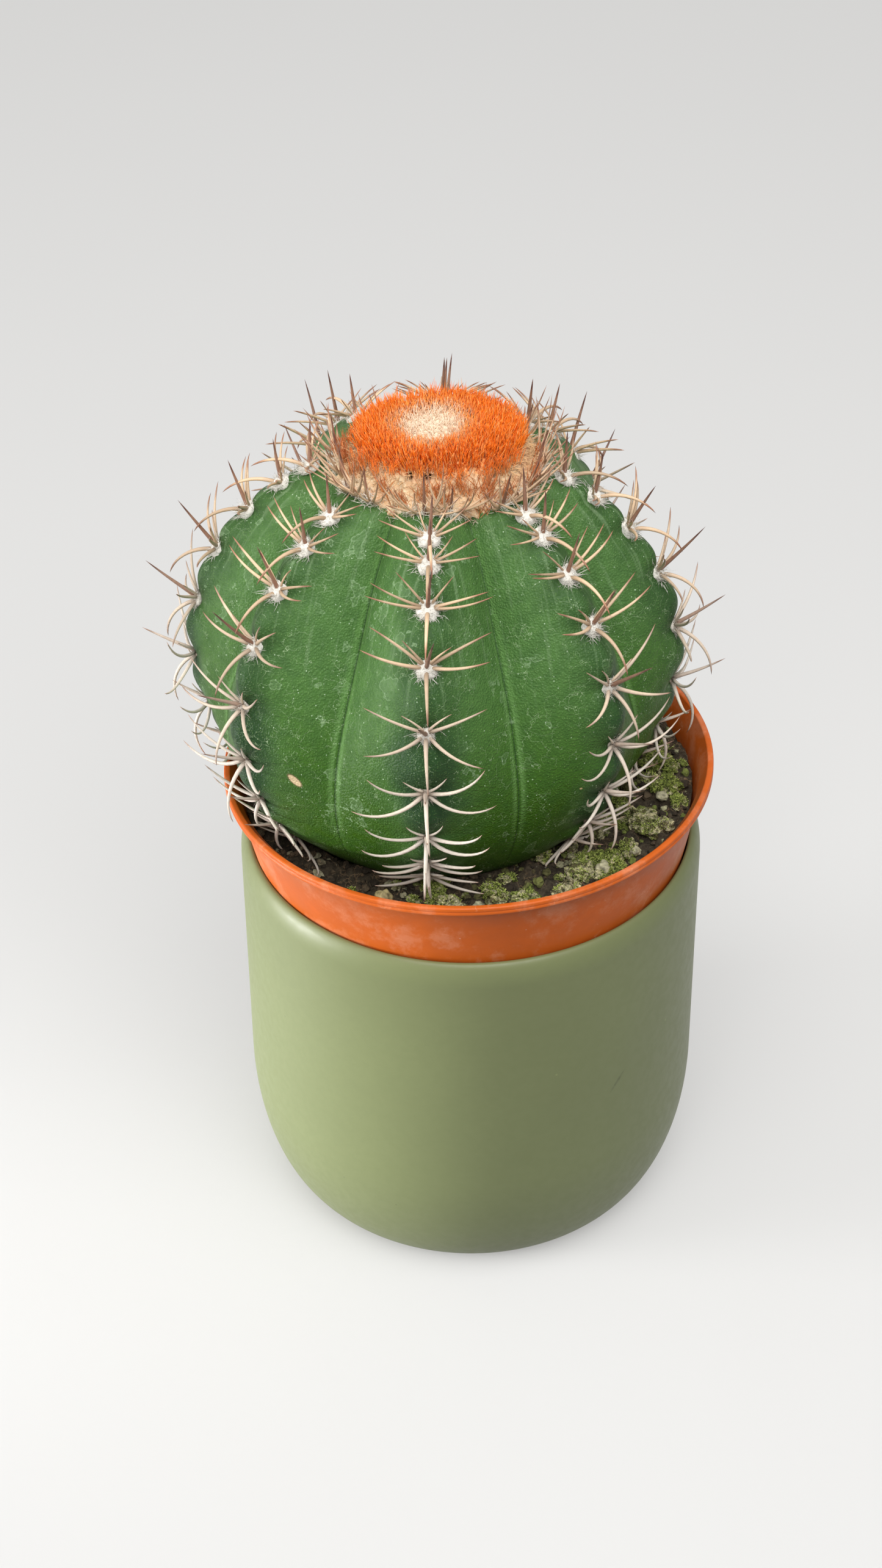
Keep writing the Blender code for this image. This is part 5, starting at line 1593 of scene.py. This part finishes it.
class AddAreoleWool(bpy.types.Operator):
    """Adds the white wool cushions of the areoles"""

    bl_idname = "cactus.add_areole_wool"
    bl_label = "Areole Wool"

    def execute(self, context):
        settings = context.scene.cactus_spines
        rng = np.random.default_rng(SEED + 40)
        mat = self.wool_finish(settings)
        halves = (Strands(3, 3), Strands(3, 3))
        for rib, areoles in all_areoles():
            for areole in areoles:
                size = 1.0 - 0.42 * areole.age
                count = int(settings.wool_fibres * size**1.3)
                self.add_tuft(halves[rib // 4], areole, size, count, rng)
        for label, strands in zip(("front", "back"), halves):
            name = f"areole_wool_{label}"
            finish_piece(name, strands.mesh(name, PLANT_FRAME), mat, "spines")
        self.add_pads(mat)
        return {"FINISHED"}

    def add_tuft(self, strands, areole, size, count, rng):
        steps = strands.steps
        for _ in range(count):
            spot = rng.normal(size=2) * (1.0 * MM * size, 1.1 * MM * size)
            spot[1] -= 0.5 * MM * size
            away = (areole.side * spot[0] + areole.up * spot[1]) / (1.5 * MM * size)
            start = areole.base + areole.side * spot[0] + areole.up * spot[1] + areole.out * 0.4 * MM * size
            way = unit(areole.out + away + rng.normal(size=3) * 0.5)
            sag = rng.normal(size=3) * 0.5
            length = rng.uniform(0.9, 2.2) * MM * (0.5 + 0.5 * size)
            radii = rng.uniform(0.05, 0.085) * MM * np.array([1.0, 0.9, 0.7, 0.0])
            path = bend(start, way, sag, length, steps)
            strands.add(path, areole.side, radii, rng.uniform(), age=areole.age)

    def add_pads(self, mat):
        """A felted lump under each tuft."""
        template = icosphere(3)
        base = coordinates(template)
        blocks, ages = [], []
        for rib, areoles in all_areoles():
            for k, areole in enumerate(areoles):
                size = (2.6 - 1.2 * areole.age) * MM
                lump = base * (1.0 + 0.1 * waves(base + rib * 7 + k * 3, 0.9, 50 + k, 6))[:, None]
                lump = lump * np.array([size, size * 1.0, 0.62 * size])
                axes = np.array([areole.side, areole.up, areole.out])
                blocks.append(lump @ axes + areole.base - areole.up * 0.4 * MM)
                ages.append(areole.age)
        mesh = repeated(template, len(blocks), "areole_pads")
        set_coordinates(mesh, np.concatenate(blocks), PLANT_FRAME)
        store(mesh, "age", np.repeat(ages, len(base)))
        store(mesh, "tone", np.full(len(base) * len(blocks), 0.5))
        store(mesh, "along", np.full(len(base) * len(blocks), 0.3))
        finish_piece("areole_pads", mesh, mat, "spines")

    def wool_finish(self, settings):
        look = Finish("white_areole_wool", Roughness=0.95, Specular_IOR_Level=0.15)
        wool = settings.wool_colour
        age = look.mark("age")
        fresh = look.strand(rgba(wool, 0.86), rgba(wool), rgba(wool, 1.06), 0.5, 0.6, 0.2)
        old = look.strand((0.30, 0.22, 0.16), (0.48, 0.42, 0.35), (0.6, 0.55, 0.48), 0.6, 0.7, 0.5)
        look.base = look.blend(look.step(age, 0.15, 1.0), fresh, old)
        fine = look.mottle(1600.0)
        look.over(fine, (0.70, 0.62, 0.52), 0.14)
        return look.finished(relief=look.bump(fine, 0.0002, 0.7))


# Cap


DOME_RADIUS = 18.4 * MM
DOME_FOOT = 87.0 * MM
DOME_RISE = 3.3 * MM
# Middle, reach and rise of the dome's highest part
DOME_HILL = (np.array([3.4, 8.0]) * MM, 6.0 * MM, 1.0 * MM)
HEART_OFFSET = np.array([-2.0, 0.2, 0.0]) * MM
COLUMN_STRETCH = (1.0, 1.0, 0.22)  # draws the felt's lumps and mottling out into upright columns
FOOT_DROP = 2.8 * MM  # how far the cap's foot hangs down into the grooves
OLD_BRISTLE_CLUMPS = 92
WOOL_HAIRS = 3600
TUFT_HAIRS = 150
# Azimuth in degrees and height in mm of each pit in the felt; the pits are painted dark as shade
PITS = ((-22, 86.0), (-9, 86.4), (46, 85.6), (100, 84.4), (168, 85.0), (231, 84.8), (290, 85.4))


def dome_profile(share):
    """(radius, height) over the felt dome, for shares from its middle (0) to its rim (1)."""
    angle = np.asarray(share, float) * math.pi / 2
    return DOME_RADIUS * np.sin(angle) ** 0.78, DOME_FOOT + DOME_RISE * np.cos(angle) ** 0.85


def cap_depth(height):
    """Depth of the cap, front to back, as a share of its width at a height."""
    share = np.clip((np.asarray(height, float) - CROWN_HEIGHT) / (CAP_WOOL_TOP - CROWN_HEIGHT), 0.0, 1.0)
    return CAP_FOOT_DEPTH + (CAP_DEPTH - CAP_FOOT_DEPTH) * share


def groove_closeness(azimuth):
    """How near an azimuth is to a groove (1) or a crest (0)."""
    crests = np.array(RIB_AZIMUTHS)
    grooves = crests + (np.roll(crests, -1) - crests) % 360.0 / 2
    values = np.concatenate([np.zeros_like(crests), np.ones_like(grooves)])
    return np.interp(azimuth, np.concatenate([crests, grooves]), values, period=360.0)


def cap_place(azimuth, radius, height):
    """A place on or in the cap, whose foot hangs down into the stem's grooves."""
    azimuth, radius, height = np.broadcast_arrays(azimuth, radius, height)
    points = heading(azimuth) * radius[..., None]
    points[..., 1] *= cap_depth(height)
    hanging = np.clip((CROWN_HEIGHT + 3.6 * MM - height) / (3.6 * MM), 0.0, 1.0)
    points[..., 2] = height - FOOT_DROP * groove_closeness(azimuth) ** 2 * hanging
    middle, reach, rise = DOME_HILL
    away = np.linalg.norm(points[..., :2] - middle, axis=-1)
    points[..., 2] += rise * np.exp(-((away / reach) ** 2)) * (height > CAP_WOOL_TOP)
    points[..., 0] += CAP_OFFSET[0]
    points[..., 1] += CAP_OFFSET[1]
    return points


def band_place(azimuth, rise):
    """A place on the wool band, from its foot (0) to the bristles (1)."""
    radius = CAP_FOOT + 0.6 * MM + (DOME_RADIUS + 0.2 * MM - CAP_FOOT) * rise**0.8
    height = CROWN_HEIGHT - 0.2 * MM + (DOME_FOOT + 0.6 * MM - CROWN_HEIGHT) * rise
    return cap_place(azimuth, radius, height)


def crown_tufts(rng):
    """Azimuths of the white wool tufts at the cap's foot: a pair on each rib's top."""
    return [rib + side * 10.5 + rng.normal() * 1.8 for rib in RIB_AZIMUTHS for side in (-1, 1)]


class AddCap(bpy.types.Operator):
    """Adds the cap: its tan wool band, orange bristle dome and cream crown"""

    bl_idname = "cactus.add_cap"
    bl_label = "Cap"

    def execute(self, context):
        settings = context.scene.cactus_cap
        self.add_felt(settings)
        self.add_bristles(settings)
        self.add_band_strands(settings)
        return {"FINISHED"}

    def add_felt(self, settings):
        """The felted body: a foot that spreads over the rib tops, a sloping band and a dome."""
        base = CROWN_HEIGHT - 0.4 * MM
        band = (
            (CAP_FOOT - 3.0 * MM, base - 0.6 * MM),
            (CAP_FOOT - 0.6 * MM, base - 0.2 * MM),
            (CAP_FOOT + 0.6 * MM, base + 0.9 * MM),
            (CAP_FOOT - 0.4 * MM, base + 2.0 * MM),
            (CAP_FOOT - 1.9 * MM, base + 3.0 * MM),
            (DOME_RADIUS + 1.5 * MM, base + 4.2 * MM),
            (DOME_RADIUS + 0.4 * MM, DOME_FOOT - 0.4 * MM),
        )
        dome = [dome_profile(share) for share in np.linspace(1.0, 0.03, 18)]
        profile = [*band, *dome]
        knots = np.linspace(0.0, 1.0, len(profile))
        fine = np.linspace(0.0, 1.0, 76)
        radii = np.interp(fine, knots, [p[0] for p in profile])
        heights = np.interp(fine, knots, [p[1] for p in profile])
        mesh, ring, turn = turned_shell("cap_felt", len(fine), 260)
        inside = np.clip(ring - 1, 0, len(fine) - 1)
        radius = radii[inside].copy()
        height = heights[inside].copy()
        radius[(ring == 0) | (ring == len(fine) + 1)] = 0.0
        azimuth = np.degrees(turn)
        points = cap_place(azimuth, radius, height)
        side = np.clip((radius - 15 * MM) / (3 * MM), 0.0, 1.0)
        columns = waves(points * COLUMN_STRETCH, 1.5 * MM, 61, 14)
        lumps = waves(points, 2.6 * MM, 62) * 0.35 + waves(points, 1.1 * MM, 63) * 0.16
        outward = unit_rows(points - np.array([*CAP_OFFSET, CROWN_HEIGHT]))
        shift = (columns * 0.55 * side + lumps * (0.4 + 0.6 * side)) * MM
        pit = np.zeros_like(shift)
        for pit_azimuth, pit_height in PITS:
            middle = cap_place(pit_azimuth, DOME_RADIUS + 0.6 * MM, pit_height * MM)
            away = np.linalg.norm((points - middle) * np.array([1.0, 1.0, 0.6]), axis=1)
            pit = np.maximum(pit, np.exp(-((away / (1.0 * MM)) ** 2)))
        points += outward * ((shift - pit * 1.5 * MM) * (ring > 2))[:, None]
        heart = np.linalg.norm((points - np.array([*CAP_OFFSET, 0.0]) - HEART_OFFSET)[:, :2], axis=1)
        set_coordinates(mesh, points, PLANT_FRAME)
        store(mesh, "heart_reach", heart)
        store(mesh, "rise", height)
        store(mesh, "pit", pit)
        mat = self.felt_finish(settings)
        finish_piece("cap_felt", mesh, mat, "cap_wool", ["cephalium_wool", "cephalium_crown_wool"])

    def add_bristles(self, settings):
        """Upright bristles over the dome, short and cream about its middle."""
        rng = np.random.default_rng(SEED + 60)
        strands = Strands(3, 4)
        steps = strands.steps
        girth = np.array([0.9, 1.0, 0.9, 0.6, 0.0])
        golden = math.degrees(math.pi * (3.0 - math.sqrt(5.0)))
        shares = np.linspace(0.0, 1.0, 200)
        profile_radii, profile_heights = dome_profile(shares)
        strips = np.hypot(np.diff(profile_radii), np.diff(profile_heights)) * profile_radii[1:]
        area = np.concatenate([[0.0], np.cumsum(strips)])
        for k in range(settings.bristles):
            share = float(np.interp((k + 0.5) / settings.bristles * area[-1], area, shares))
            azimuth = (k * golden + rng.normal() * 1.2) % 360.0
            radius, height = dome_profile(share)
            ragged = max(0.0, share - 0.82) / 0.18
            clump = math.sin(math.radians(azimuth * 11)) + math.sin(math.radians(azimuth * 23 + 40))
            height = height - ragged * (0.1 + 0.45 * clump + rng.uniform(0.0, 1.0)) * MM
            radius = radius + ragged * rng.uniform(0.0, 0.8) * MM
            start = cap_place(azimuth, radius, height)
            outward = heading(azimuth)
            heart_reach = np.linalg.norm((start - np.array([*CAP_OFFSET, 0.0]) - HEART_OFFSET)[:2])
            heart = 1.0 - min(1.0, max(0.0, (heart_reach + rng.normal() * 1.0 * MM - 5.6 * MM) / (6.6 * MM)))
            if rng.uniform() < 0.75 * heart**2:
                continue
            lean = 0.14 + 0.3 * share**3
            sway = (math.sin(azimuth * 0.7 + radius * 900), math.cos(azimuth * 0.9 - radius * 700), 0.0)
            stray = rng.normal(size=3) * (0.13 + 0.3 * heart)
            way = unit(UP + outward * lean + np.array(sway) * 0.17 + stray)
            length = (3.6 + 0.5 * share - 2.0 * heart) * MM * rng.uniform(0.6, 1.2)
            sag = rng.normal(size=3) * 0.14 + UP * 0.12
            radii = girth * rng.uniform(0.09, 0.16) * MM
            strands.add(bend(start, way, sag, length, steps), outward, radii, rng.uniform(), heart=heart)
        mesh = strands.mesh("cap_bristles", PLANT_FRAME)
        mat = self.bristle_finish(settings)
        finish_piece("cap_bristles", mesh, mat, "cap_bristles", ["cephalium_bristles"])

    def add_band_strands(self, settings):
        """Rusty old bristles in clumps, wool tufts over the rib tops, and loose wool hairs."""
        rng = np.random.default_rng(SEED + 70)
        old = Strands(3, 5)
        for _ in range(OLD_BRISTLE_CLUMPS):
            azimuth = rng.uniform(0, 360)
            rise = rng.uniform(0.05, 0.95)
            fan = rng.uniform(0.2, 0.5)
            reach = rng.uniform(3.4, 6.6) * MM * (1.0 - 0.35 * rise)
            for _ in range(rng.integers(9, 22)):
                here = azimuth + rng.normal() * 2.4
                outward, side = heading(here), heading(here + 90)
                level = min(1.0, max(0.0, rise + rng.normal() * 0.07))
                start = band_place(here, level)
                lean = outward * rng.uniform(0.05, 0.5) * (1.0 - 0.6 * level)
                way = unit(UP + lean + side * rng.normal() * fan)
                length = reach * rng.uniform(0.7, 1.15)
                path = bend(start, way, side * rng.normal() * 0.22 + UP * 0.05, length, old.steps)
                radii = rng.uniform(0.09, 0.16) * MM * taper(old.steps)
                old.add(path, side, radii, rng.uniform(), rise=level)
        hairs = Strands(3, 3)
        girth = np.array([1.0, 0.9, 0.7, 0.0])
        for _ in range(WOOL_HAIRS):
            here = rng.uniform(0, 360)
            outward, side = heading(here), heading(here + 90)
            rise = rng.uniform(0.0, 1.0) ** 1.5
            start = band_place(here, rise)
            way = unit(outward + UP * rng.uniform(-0.9, 1.1) + side * rng.normal() * 0.7)
            path = bend(start, way, rng.normal(size=3) * 0.4, rng.uniform(0.9, 2.2) * MM, hairs.steps)
            hairs.add(path, side, rng.uniform(0.05, 0.09) * MM * girth, rng.uniform(), rise=rise)
        for azimuth in crown_tufts(rng):
            for _ in range(TUFT_HAIRS):
                here = azimuth + rng.normal() * 3.2
                outward, side = heading(here), heading(here + 90)
                radius = CAP_FOOT + rng.normal() * 0.9 * MM
                start = cap_place(here, radius, CROWN_HEIGHT + rng.uniform(-0.4, 1.3) * MM)
                lean = outward * rng.uniform(0.2, 1.2) + UP * rng.uniform(-0.3, 1.0)
                way = unit(lean + side * rng.normal() * 0.6)
                path = bend(start, way, rng.normal(size=3) * 0.5, rng.uniform(1.2, 2.8) * MM, hairs.steps)
                hairs.add(path, side, rng.uniform(0.05, 0.09) * MM * girth, rng.uniform(), rise=-1.0)
        mesh = old.mesh("cap_old_bristles", PLANT_FRAME)
        finish_piece("cap_old_bristles", mesh, self.old_bristle_finish(), "cap_bristles")
        mesh = hairs.mesh("cap_wool_hairs", PLANT_FRAME)
        finish_piece("cap_wool_hairs", mesh, self.hair_finish(settings), "cap_wool")

    def felt_finish(self, settings):
        """Cream at the crown, peach under the bristles, cream and tan columns at the foot, and pits painted
        near black as shade.
        """
        look = Finish("cap_felt", Roughness=0.95, Specular_IOR_Level=0.15)
        heart_reach = look.mark("heart_reach")
        rise = look.mark("rise")
        upright = look.vector("MULTIPLY", look.where, COLUMN_STRETCH)
        columns = look.group("Mottle", Vector=upright, Scale=420.0, Softness=0.2)
        stains = look.group("Mottle", Vector=upright, Scale=190.0, Softness=0.15)
        fine = look.mottle(1100.0)
        tan = look.blend(columns, rgba(settings.wool_colour, 0.8), rgba(settings.wool_colour, 1.15))
        tan = look.blend(look.times(fine, 0.45), tan, (0.90, 0.80, 0.58))
        tan = look.blend(look.times(stains, 0.55), tan, (0.62, 0.27, 0.12))
        peach = look.blend(fine, (0.95, 0.36, 0.10), (1.0, 0.55, 0.25))
        ragged = look.times(look.minus(columns, 0.5), 2.0 * MM)
        on_dome = look.step(look.plus(rise, ragged), DOME_FOOT - 1.4 * MM, DOME_FOOT + 0.6 * MM)
        look.base = look.blend(on_dome, tan, peach)
        heart = look.minus(1.0, look.step(heart_reach, 4.5 * MM, 9.5 * MM))
        look.over(heart, rgba(settings.crown_colour))
        # Painted shade: the pits are coloured near black for the shadow inside them
        pit = look.step(look.mark("pit"), 0.25, 0.75)
        look.over(pit, (0.05, 0.025, 0.012))
        return look.finished(relief=look.bump(fine, 0.0004, 0.8))

    def bristle_finish(self, settings):
        look = Finish("orange_bristle", Roughness=0.5, Specular_IOR_Level=0.4)
        orange, cream = settings.bristle_colour, settings.crown_colour
        heart = look.mark("heart")
        outer = look.strand((1.0, 0.58, 0.28), (1.0, 0.30, 0.030), (1.0, 0.22, 0.006), 0.5, 0.55, 0.35)
        inner = look.strand(rgba(cream, 0.95), cream, rgba(cream, 1.05), 0.5, 0.7, 0.2)
        streaked = look.strand(rgba(cream, 0.95), (1.0, 0.62, 0.33), (0.98, 0.33, 0.06), 0.6, 0.5, 0.5)
        tone = look.mark("tone")
        outer = look.blend(look.step(tone, 0.74, 0.9), outer, (1.0, 0.44, 0.13))
        outer = look.blend(look.step(tone, 0.38, 0.16), outer, rgba(orange, 0.92))
        look.base = look.blend(look.step(heart, 0.0, 0.5), outer, streaked)
        look.over(look.step(heart, 0.5, 0.95), inner)
        fine = look.mottle(700.0)
        look.over(fine, rgba(orange, 0.6), 0.12)
        return look.finished()

    def old_bristle_finish(self):
        look = Finish("rusty_bristle", Roughness=0.55, Specular_IOR_Level=0.35)
        rise = look.mark("rise")
        rusty = look.strand((0.82, 0.46, 0.22), (0.70, 0.26, 0.085), (0.46, 0.12, 0.04), 0.5, 0.6, 0.6)
        orange = look.strand((1.0, 0.50, 0.20), (0.98, 0.30, 0.045), (0.86, 0.17, 0.015), 0.5, 0.6, 0.6)
        look.base = look.blend(look.step(rise, 0.45, 0.8), rusty, orange)
        return look.finished()

    def hair_finish(self, settings):
        look = Finish("tan_wool_hair", Roughness=0.9, Specular_IOR_Level=0.2)
        rise = look.mark("rise")
        low = look.strand((0.66, 0.52, 0.36), (0.82, 0.72, 0.55), (0.86, 0.78, 0.64), 0.5, 0.7, 0.4)
        high = look.strand(rgba(settings.wool_colour), (0.76, 0.50, 0.26), (0.70, 0.36, 0.14), 0.5, 0.7, 0.5)
        look.base = look.blend(look.step(rise, 0.1, 0.6), low, high)
        look.over(look.calc("LESS_THAN", rise, -0.5), (0.90, 0.86, 0.76))
        return look.finished()


# Panel and running


class CactusPanel(bpy.types.Panel):
    """Lists the pieces of the potted cactus and their settings"""

    bl_idname = "VIEW3D_PT_potted_cactus"
    bl_label = "Potted Turk's Cap Cactus"
    bl_space_type = "VIEW_3D"
    bl_region_type = "UI"
    bl_category = "Cactus"

    def draw(self, context):
        for operator in OPERATORS:
            self.layout.operator(operator.bl_idname)
        for name, kind in SETTINGS.items():
            box = self.layout.box()
            settings = getattr(context.scene, name)
            for field in kind.__annotations__:
                box.prop(settings, field)


OPERATORS = (AddStage, AddCachepot, AddNurseryPot, AddSoil, AddStem, AddAreoleWool, AddSpines, AddCap)
CLASSES = (*SETTINGS.values(), *OPERATORS, CactusPanel)


def register():
    for kind in CLASSES:
        bpy.utils.register_class(kind)
    for name, kind in SETTINGS.items():
        setattr(bpy.types.Scene, name, PointerProperty(type=kind))


def unregister():
    for name in SETTINGS:
        delattr(bpy.types.Scene, name)
    for kind in reversed(CLASSES):
        bpy.utils.unregister_class(kind)


def main():
    register()
    bpy.ops.cactus.add_stage()
    bpy.ops.cactus.add_cachepot()
    bpy.ops.cactus.add_nursery_pot()
    bpy.ops.cactus.add_soil()
    bpy.ops.cactus.add_stem()
    bpy.ops.cactus.add_areole_wool()
    bpy.ops.cactus.add_spines()
    bpy.ops.cactus.add_cap()


if __name__ == "__main__":
    main()
